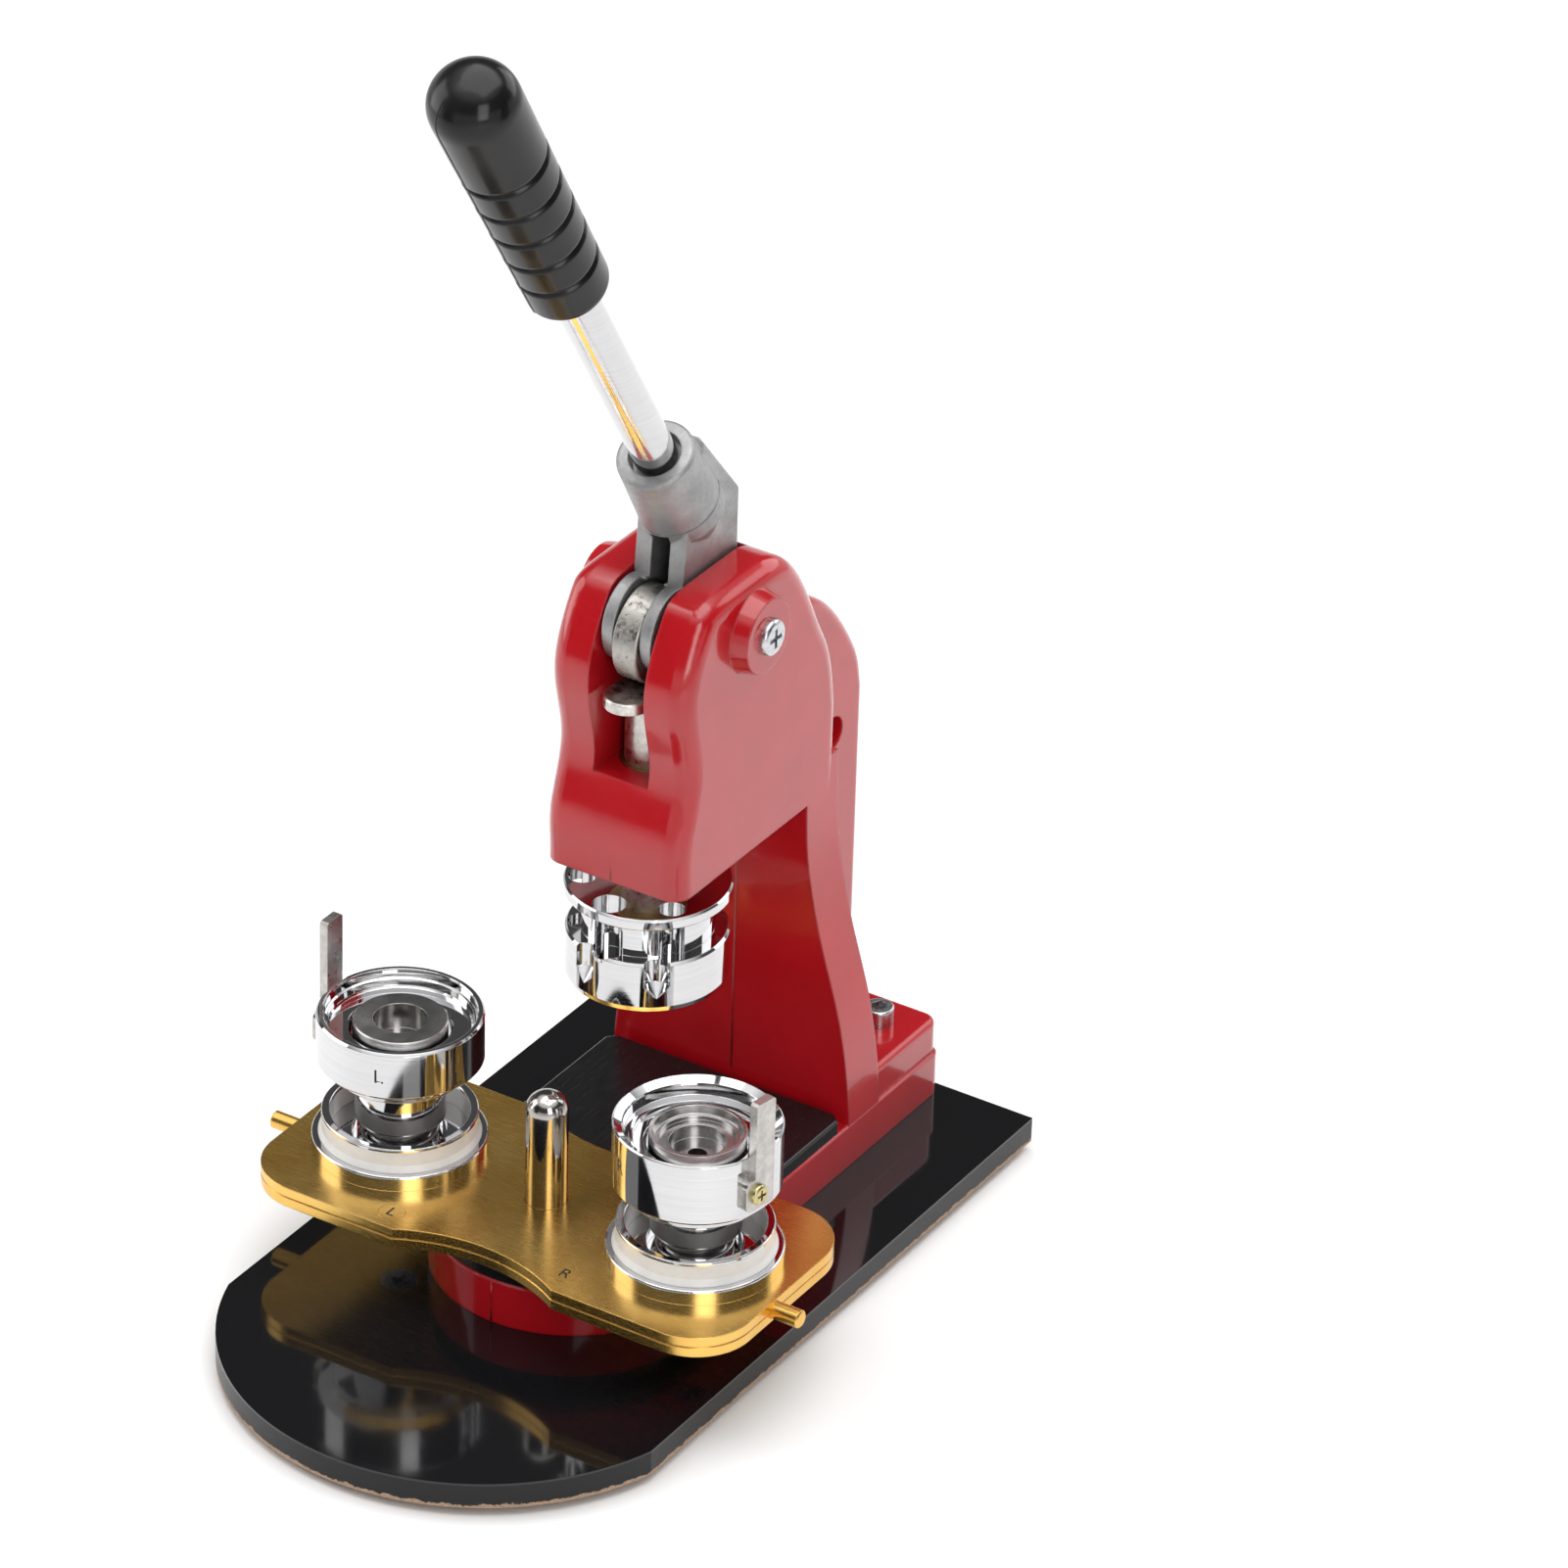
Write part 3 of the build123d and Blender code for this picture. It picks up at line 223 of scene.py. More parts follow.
# %% Edge of the board
board_edge, tree, shader = new_finish("board_core", (0.008, 0.008, 0.008), roughness=0.35)
shader.inputs["Specular IOR Level"].default_value = 0.30
space = object_space(tree)
separate = tree.nodes.new("ShaderNodeSeparateXYZ")
tree.links.new(space, separate.inputs["Vector"])
tear = noise(tree, space, 260.0, 6.0, 0.75)
height = separate.outputs["Z"]
torn_limit = ramp(tree, tear, 0.3, 0.7, 3.3 * mm, 5.2 * mm)
torn = tree.nodes.new("ShaderNodeMath")
torn.operation = "LESS_THAN"
tree.links.new(height, torn.inputs[0])
tree.links.new(torn_limit, torn.inputs[1])
fibre = noise(tree, space, 1400.0, 4.0, 0.8)
wood = blend_colors(tree, ramp(tree, fibre, 0.3, 0.7, 0.0, 1.0), (0.24, 0.14, 0.085), (0.55, 0.40, 0.29))
edge_color = blend_colors(tree, torn.outputs[0], (0.008, 0.008, 0.009), wood)
tree.links.new(edge_color, shader.inputs["Base Color"])
tree.links.new(ramp(tree, torn.outputs[0], 0.0, 1.0, 0.28, 0.9), shader.inputs["Roughness"])
bump(tree, shader, fibre, 0.25 * mm, 0.5)

print("finish:", board_edge.name)

# %% [markdown]
# ## Black pad
#
# The pad on the base is black plastic with a fine grain. An edge mask mixes a paler grey into its
# edges: a painted highlight along the rounded rims, where light catches them.

# %% Black pad
pad_finish, tree, shader = new_finish("black_pad", (0.008, 0.008, 0.009), roughness=0.22)
space = object_space(tree)
grain = noise(tree, space, 1800.0, 3.0)
scuff = noise(tree, object_space(tree, (8.0, 1.0, 1.0)), 120.0, 5.0)
# painted highlight: a paler grey is mixed into the pad's colour along its edges
painted_edge_highlight_mask = multiply(tree, edge_mask(tree, 0.5 * mm), 0.5)
pad_color_with_painted_highlight = blend_colors(tree, painted_edge_highlight_mask, (0.008, 0.008, 0.009), (0.09, 0.09, 0.09))
tree.links.new(pad_color_with_painted_highlight, shader.inputs["Base Color"])
tree.links.new(ramp(tree, scuff, 0.3, 0.75, 0.16, 0.32), shader.inputs["Roughness"])
bump(tree, shader, grain, 0.02 * mm, 0.4, rounded=0.4 * mm)
print("finish:", pad_finish.name)

# %% [markdown]
# ## Gold turntable plate
#
# The turntable is cut from plate, its top is linished on a belt and then it is anodised or lacquered
# gold. The belt leaves long fine scratches along the plate, so highlights smear across them.

# %% Gold plate
gold, tree, shader = new_finish("gold_satin", (0.80, 0.53, 0.22), metallic=1.0, roughness=0.24)
streak = noise(tree, object_space(tree, (1.0, 26.0, 26.0)), 160.0, 5.0, 0.6)
cloud = noise(tree, object_space(tree), 30.0, 3.0)
tint = blend_colors(tree, ramp(tree, cloud, 0.35, 0.65, 0.0, 1.0), (0.76, 0.44, 0.10), (0.88, 0.56, 0.16))
tree.links.new(tint, shader.inputs["Base Color"])
tree.links.new(ramp(tree, streak, 0.25, 0.75, 0.20, 0.30), shader.inputs["Roughness"])
bump(tree, shader, streak, 0.006 * mm, 0.4, rounded=0.5 * mm)
print("finish:", gold.name)

# %% [markdown]
# ## Bright turned steel
#
# The dies, the post and the lever rod are turned steel with bright plating. A lathe leaves very fine
# rings round the axis, which the plating covers but doesn't hide. Rings that follow height on a
# round piece look turned from every side.

# %% Plated steel
def plated(name, color, rough_low, rough_high, ring_scale, ring_depth, smear=45.0):
    material, tree, shader = new_finish(name, color, metallic=1.0, roughness=rough_low)
    rings = noise(tree, object_space(tree, (0.02, 0.02, 1.0)), ring_scale, 4.0, 0.7)
    cloud = noise(tree, object_space(tree), smear, 4.0)
    tree.links.new(ramp(tree, cloud, 0.35, 0.75, rough_low, rough_high), shader.inputs["Roughness"])
    shade = tuple(part * 0.88 for part in color)
    tone = blend_colors(tree, ramp(tree, rings, 0.3, 0.7, 0.0, 1.0), color, shade)
    tree.links.new(tone, shader.inputs["Base Color"])
    bump(tree, shader, rings, ring_depth, 0.4, rounded=0.35 * mm)
    return material


chrome = plated("bright_chrome", (0.70, 0.70, 0.71), 0.03, 0.10, 1500.0, 0.006 * mm)
post_steel = plated("polished_steel", (0.45, 0.43, 0.41), 0.05, 0.16, 1100.0, 0.012 * mm)
turned_steel = plated("turned_steel", (0.55, 0.54, 0.53), 0.16, 0.34, 1400.0, 0.02 * mm)
rod_chrome = plated("rod_chrome", (0.66, 0.66, 0.67), 0.06, 0.15, 900.0, 0.008 * mm)
print("finishes:", chrome.name, post_steel.name, turned_steel.name, rod_chrome.name)

# %% [markdown]
# ## Pitted roller
#
# The roller is hard steel that has begun to pit with rust. A noise is cut off sharply, so that only
# its peaks become dark pits, and the same value pushes the surface inwards there.

# %% Pitted roller
roller_steel, tree, shader = new_finish("pitted_roller", (0.42, 0.40, 0.37), metallic=1.0, roughness=0.35)
space = object_space(tree)
pits = noise(tree, space, 620.0, 5.0, 0.7)
spots = ramp(tree, pits, 0.60, 0.68, 0.0, 1.0)
pitted = blend_colors(tree, spots, (0.45, 0.43, 0.40), (0.04, 0.035, 0.03))
tree.links.new(pitted, shader.inputs["Base Color"])
tree.links.new(ramp(tree, pits, 0.4, 0.7, 0.28, 0.7), shader.inputs["Roughness"])
bump(tree, shader, spots, -0.12 * mm, 0.7, rounded=0.4 * mm)

print("finish:", roller_steel.name)

# %% [markdown]
# ## Mottled ram
#
# The ram was heat-treated, which leaves pale mottling. One noise drives colour, roughness and relief
# together, because on real steel the paler patches are also the rougher ones.

# %% Mottled ram
ram_steel, tree, shader = new_finish("mottled_ram", (0.60, 0.57, 0.53), metallic=1.0, roughness=0.3)
space = object_space(tree)
mottle = noise(tree, space, 330.0, 5.0, 0.65)
tree.links.new(
    blend_colors(tree, ramp(tree, mottle, 0.38, 0.62, 0.0, 1.0), (0.45, 0.42, 0.39), (0.72, 0.70, 0.66)),
    shader.inputs["Base Color"],
)
tree.links.new(ramp(tree, mottle, 0.3, 0.7, 0.22, 0.45), shader.inputs["Roughness"])
bump(tree, shader, mottle, 0.05 * mm, 0.4, rounded=0.4 * mm)

print("finish:", ram_steel.name)

# %% [markdown]
# ## Raw casting
#
# The lever fork is raw die-cast aluminium, dull grey with a fine orange-peel skin. A fine noise makes
# the skin, and a slow one the cloudy flow marks of the metal.

# %% Raw casting
cast_metal, tree, shader = new_finish("cast_aluminium", (0.34, 0.34, 0.34), metallic=0.9, roughness=0.5)
space = object_space(tree)
peel = noise(tree, space, 700.0, 4.0, 0.6)
flow = noise(tree, space, 70.0, 4.0)
tree.links.new(
    blend_colors(tree, ramp(tree, flow, 0.35, 0.65, 0.0, 1.0), (0.29, 0.29, 0.29), (0.42, 0.42, 0.42)),
    shader.inputs["Base Color"],
)
tree.links.new(ramp(tree, peel, 0.3, 0.7, 0.38, 0.6), shader.inputs["Roughness"])
bump(tree, shader, peel, 0.10 * mm, 0.5, rounded=1.0 * mm)
print("finish:", cast_metal.name)

# %% [markdown]
# ## Black grip
#
# The grip is moulded soft plastic with a faint sheen. Hands leave a haze on it, so its roughness
# drifts slowly, and a fine grain breaks up the highlight.

# %% Black grip
grip_finish, tree, shader = new_finish("black_grip", (0.008, 0.008, 0.008), roughness=0.20)
space = object_space(tree)
shader.inputs["Specular IOR Level"].default_value = 0.30
haze = noise(tree, space, 55.0, 4.0)
grain = noise(tree, space, 1500.0, 3.0)
tree.links.new(ramp(tree, haze, 0.3, 0.7, 0.14, 0.26), shader.inputs["Roughness"])
tree.links.new(
    blend_colors(tree, ramp(tree, haze, 0.3, 0.7, 0.0, 1.0), (0.006, 0.006, 0.006), (0.012, 0.012, 0.012)),
    shader.inputs["Base Color"],
)
bump(tree, shader, grain, 0.03 * mm, 0.35)

print("finish:", grip_finish.name)

# %% [markdown]
# ## White nylon
#
# The sleeves are machined nylon, milky and slightly translucent. Subsurface scattering lets a little
# light travel two millimetres inside them, and fine turning rings follow the height.

# %% White nylon
scatter_depth = (2.0 * mm, 2.0 * mm, 1.8 * mm)
nylon, tree, shader = new_finish("white_nylon", (0.80, 0.79, 0.77), roughness=0.32)
space = object_space(tree)
rings = noise(tree, object_space(tree, (0.02, 0.02, 1.0)), 1600.0, 3.0)
cloud = noise(tree, space, 90.0, 4.0)
shader.inputs["Subsurface Weight"].default_value = 0.25
shader.inputs["Subsurface Radius"].default_value = scatter_depth
shader.inputs["Subsurface Scale"].default_value = 1.0
tree.links.new(
    blend_colors(tree, ramp(tree, cloud, 0.35, 0.7, 0.0, 1.0), (0.82, 0.81, 0.79), (0.72, 0.71, 0.69)),
    shader.inputs["Base Color"],
)
bump(tree, shader, rings, 0.03 * mm, 0.4, rounded=0.4 * mm)
print("finish:", nylon.name)

# %% [markdown]
# ## Small hardware
#
# Screws are zinc-plated, one pair in the yellow passivated kind. Bushes are bronze and feet rubber.
# They are small, so one recipe of a cloudy colour and roughness serves them all.

# %% Small hardware
def small_finish(name, color, rough_low, rough_high, scale, metallic=1.0):
    """A cloudy plated metal, or with no metallic share a plain soft material or an ink."""
    material, tree, shader = new_finish(name, color, metallic=metallic, roughness=rough_low)
    cloud = noise(tree, object_space(tree), scale, 5.0, 0.65)
    shade = tuple(part * 0.7 for part in color)
    tone = blend_colors(tree, ramp(tree, cloud, 0.3, 0.7, 0.0, 1.0), shade, color)
    tree.links.new(tone, shader.inputs["Base Color"])
    tree.links.new(ramp(tree, cloud, 0.3, 0.7, rough_high, rough_low), shader.inputs["Roughness"])
    bump(tree, shader, cloud, 0.03 * mm, 0.4, rounded=0.25 * mm)
    return material


zinc = small_finish("zinc_plate", (0.66, 0.67, 0.69), 0.18, 0.34, 700.0)
yellow_zinc = small_finish("yellow_zinc", (0.66, 0.58, 0.30), 0.2, 0.36, 700.0)
nickel = small_finish("satin_nickel", (0.60, 0.58, 0.55), 0.22, 0.38, 240.0)
bronze = small_finish("bush_bronze", (0.55, 0.36, 0.17), 0.3, 0.45, 500.0)
rubber = small_finish("soft_rubber", (0.03, 0.03, 0.03), 0.6, 0.8, 900.0, metallic=0.0)
ink = small_finish("mark_ink", (0.015, 0.012, 0.010), 0.4, 0.6, 800.0, metallic=0.0)
print("finishes:", zinc.name, nickel.name, bronze.name, rubber.name)

# %% [markdown]
# ## Finish for every CAD piece
#
# One table says which finish each piece gets, and what it doesn't name is turned steel. The shapes
# of the CAD meshes aren't touched: only their materials change.

# %% Assign finishes
finish_of = {
    "base_board_core": board_edge,
    "base_board_laminate": laminate,
    "rubber_feet": rubber,
    "frame_casting": red,
    "base_pad": pad_finish,
    "pivot_post": post_steel,
    "thrust_washer": nylon,
    "turntable_plate": gold,
    "turntable_pins": gold,
    "upper_die_body": chrome,
    "pressing_ring": turned_steel,
    "ram": ram_steel,
    "wear_plate": ram_steel,
    "lever_fork": cast_metal,
    "lever_rod": rod_chrome,
    "lever_grip": grip_finish,
    "roller": roller_steel,
    "upper_ram_bush": bronze,
    "lower_ram_bush": bronze,
    "detent_ball": chrome,
    "left_tab_screw": yellow_zinc,
    "right_tab_screw": yellow_zinc,
    "left_tab": nickel,
    "right_tab": nickel,
}
for word in ("left", "right"):
    finish_of[word + "_die_base"] = chrome
    finish_of[word + "_die_rim"] = chrome
    finish_of[word + "_ring"] = chrome
    finish_of[word + "_die_sleeve"] = nylon
    finish_of[word + "_pedestal"] = turned_steel
    finish_of[word + "_ring_spring"] = turned_steel
for name in ("foot_screws", "frame_bolts", "frame_nuts", "frame_washers", "pivot_screw", "die_screws",
             "upper_die_screw", "wear_plate_screw", "axle_screws"):
    finish_of[name] = zinc

for name, piece in nodes.items():
    material = finish_of.get(name, turned_steel)
    piece.data.materials.clear()
    piece.data.materials.append(material)
    for face in piece.data.polygons:
        face.material_index = 0
print("pieces with a finish:", len(nodes))

# %% [markdown]
# ## Mesh helpers
#
# The extra pieces are plain meshes. A turned piece is a profile of radius and height swept round an
# axis, and is then laid along the lever or stood upright.

# %% Mesh helpers
def add_mesh(name, vertices, faces, material, smooth=True):
    mesh = bpy.data.meshes.new(name)
    mesh.from_pydata(vertices, [], faces)
    mesh.update()
    work = bmesh.new()
    work.from_mesh(mesh)
    bmesh.ops.recalc_face_normals(work, faces=work.faces)
    work.to_mesh(mesh)
    work.free()
    for face in mesh.polygons:
        face.use_smooth = smooth
    mesh.materials.append(material)
    piece = bpy.data.objects.new(name, mesh)
    bpy.context.scene.collection.objects.link(piece)
    return piece


def turned_mesh(profile, segments, place):
    """Vertices and faces of a closed turned body; profile runs from axis to axis."""
    vertices = []
    faces = []
    for radius, height in profile:
        for step in range(segments):
            angle = 2 * math.pi * step / segments
            vertices.append(place @ Vector((radius * math.cos(angle), radius * math.sin(angle), height)))
    for row in range(len(profile) - 1):
        for step in range(segments):
            after = (step + 1) % segments
            low = row * segments
            high = low + segments
            faces.append((low + step, low + after, high + after, high + step))
    faces.append(tuple(range(segments))[::-1])
    last = (len(profile) - 1) * segments
    faces.append(tuple(range(last, last + segments)))
    return vertices, faces


lever_tilt = math.radians(32.3)
socket_foot = Vector((0.0, 50.5 * mm, 252.5 * mm))
along_lever = Matrix.Translation(socket_foot) @ Matrix.Rotation(lever_tilt, 4, "X")
print("lever tilt in degrees:", round(math.degrees(lever_tilt), 1))

# %% [markdown]
# ## Grip
#
# The grip is moulded over the rod. Its lower half has ring grooves that keep a hand from sliding,
# and its end is a dome. A rule gives the radius at any place along it, so the whole grip is one
# turned profile, and it takes the place of the plain CAD grip.

# %% Grip with ring grooves
socket_length = 39.0
rod_visible_length = 92.0
grip_low = (socket_length + rod_visible_length) * mm
grip_length = 108.0
taper_length = 94.0
foot_round = 3.0
foot_round_depth = 1.6
dome_fullness = 2.4
groove_places = [15.5, 28.6, 41.7, 54.8, 67.9]
groove_half = 1.5
groove_depth = 1.2
grip_foot_radius = 13.2
grip_top_radius = 14.3
dome_length = 14.0


def grip_radius(at):
    """Outer radius in millimetres at a distance from the lower end."""
    straight = grip_foot_radius + (grip_top_radius - grip_foot_radius) * min(at / taper_length, 1.0)
    for place in groove_places:
        away = abs(at - place)
        if away < groove_half:
            straight -= groove_depth * (0.5 + 0.5 * math.cos(math.pi * away / groove_half))
    if at < foot_round:
        straight -= foot_round_depth * (1.0 - at / foot_round) ** 2
    start = grip_length - dome_length
    if at > start:
        share = (at - start) / dome_length
        straight *= math.sqrt(max(0.0, 1.0 - share**dome_fullness))
    return straight


rod_clearance_radius = 7.05
grip_sides = 96
profile = [(rod_clearance_radius * mm, grip_low + 0.4 * mm)]
rows = 216
for row in range(rows):
    at = grip_length * row / rows
    profile.append((grip_radius(at) * mm, grip_low + at * mm))
profile.append((0.4 * mm, grip_low + (grip_length - 0.05) * mm))
vertices, faces = turned_mesh(profile, grip_sides, along_lever)
grip = add_mesh("grip_with_grooves", vertices, faces, grip_finish)
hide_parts("lever_grip")
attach(grip, "lever")
print("grip points:", len(vertices))

# %% [markdown]
# ## Letters on the dies and the plate
#
# The two die positions are marked L and R, so that the parts of a badge go on the right side. Each
# letter is cut from a font outline, given a little thickness, made a mesh, and then laid on the
# plate or wrapped on a ring. On the plate a fine circle goes round it, which is made further on.

# %% Position letters
size_per_letter_height = 1.38


def letter_mesh(name, text, height, thickness, place, material, wrap_radius=None):
    """A flat letter. With a wrap radius it is bent round an upright ring."""
    curve = bpy.data.curves.new(name + "_curve", "FONT")
    curve.body = text
    curve.size = height * size_per_letter_height
    curve.extrude = thickness / 2
    curve.align_x = "CENTER"
    curve.align_y = "CENTER"
    curve.resolution_u = 6
    helper = bpy.data.objects.new(name + "_helper", curve)
    bpy.context.scene.collection.objects.link(helper)
    bpy.context.view_layer.update()
    mesh = bpy.data.meshes.new_from_object(helper.evaluated_get(bpy.context.evaluated_depsgraph_get()))
    bpy.data.objects.remove(helper)
    bpy.data.curves.remove(curve)
    for vertex in mesh.vertices:
        point = vertex.co.copy()
        if wrap_radius is not None:
            angle = point.x / wrap_radius
            reach = wrap_radius + point.z
            point = Vector((math.sin(angle) * reach, point.y, math.cos(angle) * reach - wrap_radius))
        vertex.co = place @ point
    mesh.materials.clear()
    mesh.materials.append(material)
    mesh.name = name
    piece = bpy.data.objects.new(name, mesh)
    bpy.context.scene.collection.objects.link(piece)
    return piece


pivot_y = -24.5 * mm
letter_circles = {}
circle_radius = 4.4 * mm
circle_steps = 48
plate_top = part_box("turntable_plate")[1].z
for name, text, x, y in (("plate_letter_L", "L", -35.5, -58.7), ("plate_letter_R", "R", 28.5, -56.4)):
    spot = Matrix.Translation((x * mm, y * mm, plate_top + 0.02 * mm))
    letter = letter_mesh(name, text, 4.6 * mm, 0.06 * mm, spot, ink)
    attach(letter, "turntable")
    circle = []
    for step in range(circle_steps + 1):
        angle = 2 * math.pi * step / circle_steps
        circle.append(spot @ Vector((circle_radius * math.cos(angle), circle_radius * math.sin(angle), 0.0)))
    letter_circles[name] = circle
    print(name, "at", x, y)


ring_radius = 26.8 * mm
die_x = 56.0 * mm


def on_ring(side, angle_degrees, height):
    """Place on the outside of a moving ring; the angle is counted from straight ahead."""
    angle = math.radians(angle_degrees)
    centre = Vector((side * die_x, pivot_y, height))
    outward = Vector((math.sin(angle), -math.cos(angle), 0.0))
    sideways = Vector((math.cos(angle), math.sin(angle), 0.0))
    up = Vector((0.0, 0.0, 1.0))
    spot = centre + outward * ring_radius
    return Matrix((
        (sideways.x, up.x, outward.x, spot.x),
        (sideways.y, up.y, outward.y, spot.y),
        (sideways.z, up.z, outward.z, spot.z),
        (0.0, 0.0, 0.0, 1.0),
    ))


ring_marks = (
    ("ring_letter_L", "L", -1, 19.5, 83.3, "left_ring_body"),
    ("ring_letter_L_second", "L", -1, 77.0, 79.0, "left_ring_body"),
    ("ring_letter_R", "R", 1, -31.0, 82.0, "right_ring_body"),
)
for name, text, side, angle, height, body in ring_marks:
    spot = on_ring(side, angle, height * mm)
    letter = letter_mesh(name, text, 5.0 * mm, 0.05 * mm, spot, ink, wrap_radius=ring_radius)
    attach(letter, body)
    print(name, "at angle", angle)

# %% [markdown]
# ## Parting line of the casting
#
# The two halves of the sand mould met in the middle plane. A thin ridge is left there after
# fettling, and the paint runs over it. It shows down the nose, the column and the round front. A
# bead, which is a small section swept along a list of points, makes it, and the letter circles too.

# %% Parting line
def bead(name, path, width, height, material):
    """A low rounded ridge; path is a list of (point on the surface, direction out of it)."""
    vertices = []
    faces = []
    section = ((-1.0, -0.5), (-0.55, 0.6), (0.0, 1.0), (0.55, 0.6), (1.0, -0.5), (0.0, -0.9))
    last = len(path) - 1
    for row, (point, outward) in enumerate(path):
        along = (path[min(row + 1, last)][0] - path[max(row - 1, 0)][0]).normalized()
        across = along.cross(outward).normalized()
        for side, rise in section:
            vertices.append(point + across * (side * width / 2) + outward * (rise * height))
    count = len(section)
    for row in range(last):
        for step in range(count):
            after = (step + 1) % count
            faces.append((row * count + step, row * count + after,
                          (row + 1) * count + after, (row + 1) * count + step))
    faces.append(tuple(range(count)))
    faces.append(tuple(range(last * count, (last + 1) * count)))
    return add_mesh(name, vertices, faces, material)


def front_line(y, heights):
    return [(Vector((0.0, y * mm, z * mm)), Vector((0.0, -1.0, 0.0))) for z in heights]


for name, circle in letter_circles.items():
    up = Vector((0.0, 0.0, 1.0))
    piece = bead(name + "_circle", [(point, up) for point in circle], 0.22 * mm, 0.03 * mm, gold)
    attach(piece, "turntable")

column_front = 84.0
nose_front = 9.4
base_front = -55.0
parting_lines = {
    "parting_line_column": front_line(column_front, (34.0, 60.0, 90.0, 120.0, 141.8)),
    "parting_line_nose": front_line(nose_front, (142.6, 146.0, 150.0)),
    "parting_line_base": front_line(base_front, (12.4, 18.0, 23.0, 27.2)),
}
for name, path in parting_lines.items():
    piece = bead(name, path, 0.9 * mm, 0.22 * mm, red)
    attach(piece, "frame")
    print(name, len(path), "points")

# %% [markdown]
# ## Seams on the lever
#
# The grip was moulded in two halves, so a fine seam runs up its front into the dome. The fork casting
# has a fine line where its round socket meets the flat neck. Both are beads that follow the surface.

# %% Seams on the lever
seam_angle = math.radians(-110.0)
seam_start = 1.2
seam_length = 105.0
seam_steps = 169
seam = []
for step in range(seam_steps + 1):
    at = seam_start + seam_length * step / seam_steps
    radius = (grip_radius(at) + 0.02) * mm
    outward = Vector((math.cos(seam_angle), math.sin(seam_angle), 0.0))
    spot = outward * radius + Vector((0.0, 0.0, grip_low + at * mm))
    seam.append((along_lever @ spot, along_lever.to_3x3() @ outward))
seam_piece = bead("grip_seam", seam, 0.7 * mm, 0.22 * mm, grip_finish)
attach(seam_piece, "lever")

line_steps = 60
line_radius = 13.62
step_line = []
for step in range(line_steps + 1):
    angle = math.radians(-150.0 + 210.0 * step / line_steps)
    outward = Vector((math.cos(angle), math.sin(angle), 0.0))
    height = 12.0 * mm + 1.5 * mm * math.cos(angle)
    spot = outward * line_radius * mm + Vector((0.0, 0.0, height))
    step_line.append((along_lever @ spot, along_lever.to_3x3() @ outward))
step_piece = bead("fork_casting_line", step_line, 0.8 * mm, 0.18 * mm, cast_metal)
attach(step_piece, "lever")
print("seam points:", len(seam), "casting line points:", len(step_line))

# %% [markdown]
# ## Torn fibres under the board
#
# Sawing the board from above leaves a fringe of torn brown fibres along its lower edge. About 2500
# short chips of five points each are scattered along the outline, with a fixed seed, and joined in
# one mesh. They are kept just inside the outline, so the board's size stays true.

# %% Torn fibre fringe
import random

chips = random.Random(7)
board_half = 80.0
board_back = 143.5
board_front = -143.5
side_end = -85.0
arc_rise = side_end - board_front
arc_radius = (board_half**2 + arc_rise**2) / (2 * arc_rise)
arc_centre = board_front + arc_radius
arc_half_angle = math.asin(board_half / arc_radius)


def outline_point(kind, share):
    """Point on the board outline and the direction out of it, in millimetres."""
    if kind == "front":
        angle = (2 * share - 1) * arc_half_angle
        return (arc_radius * math.sin(angle), arc_centre - arc_radius * math.cos(angle),
                math.sin(angle), -math.cos(angle))
    y = side_end + share * (board_back - side_end)
    if kind == "right":
        return board_half, y, 1.0, 0.0
    if kind == "left":
        return -board_half, y, -1.0, 0.0
    return (2 * share - 1) * board_half, board_back, 0.0, 1.0


board_bottom = 3.0
size_margin = 0.1
tip_inset = 0.12
chip_counts = {"front": 900, "right": 900, "left": 500, "back": 250}
vertices = []
faces = []
for kind, count in chip_counts.items():
    for _ in range(count):
        x, y, out_x, out_y = outline_point(kind, chips.random())
        along_x, along_y = -out_y, out_x
        z = board_bottom + chips.uniform(0.05, 0.9)
        length = chips.uniform(0.4, 1.6)
        thick = chips.uniform(0.15, 0.4)
        lean = chips.uniform(-0.5, 0.5)
        base = len(vertices)
        inset = chips.uniform(0.35, 0.7)
        corners = ((-length / 2, 0.0), (length / 2, lean * thick), (length * 0.2, thick),
                   (-length * 0.3, thick * 0.8))
        spots = [(x + along_x * shift - out_x * inset, y + along_y * shift - out_y * inset, z + rise)
                 for shift, rise in corners]
        spots.append((x - out_x * tip_inset, y - out_y * tip_inset, z + thick * 0.4))
        for spot_x, spot_y, spot_z in spots:
            spot_x = max(-board_half + size_margin, min(board_half - size_margin, spot_x))
            spot_y = max(board_front + size_margin, min(board_back - size_margin, spot_y))
            vertices.append((spot_x * mm, spot_y * mm, spot_z * mm))
        faces.append((base, base + 1, base + 4))
        faces.append((base + 1, base + 2, base + 4))
        faces.append((base + 2, base + 3, base + 4))
        faces.append((base + 3, base, base + 4))
        faces.append((base + 3, base + 2, base + 1, base))

fibres, tree, shader = new_finish("torn_fibres", (0.5, 0.36, 0.26), roughness=0.9)
fluff = noise(tree, object_space(tree), 500.0, 4.0)
tree.links.new(
    blend_colors(tree, ramp(tree, fluff, 0.3, 0.7, 0.0, 1.0), (0.30, 0.18, 0.11), (0.62, 0.47, 0.35)),
    shader.inputs["Base Color"],
)
fringe = add_mesh("torn_fibre_fringe", vertices, faces, fibres, smooth=False)
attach(fringe, "frame")
print("chips:", sum(chip_counts.values()))

# %% [markdown]
# ## Studio
#
# The press stands on a pale floor. Two dark cards, one at the front left and one to the right, give
# the bright metal something to reflect, as they do in a product studio.

# %% Floor and cards
def plain_card(name, corners, color, roughness=0.6):
    card, tree, shader = new_finish(name + "_finish", color, roughness=roughness)
    piece = add_mesh(name, corners, [tuple(range(len(corners)))], card, smooth=False)
    return piece


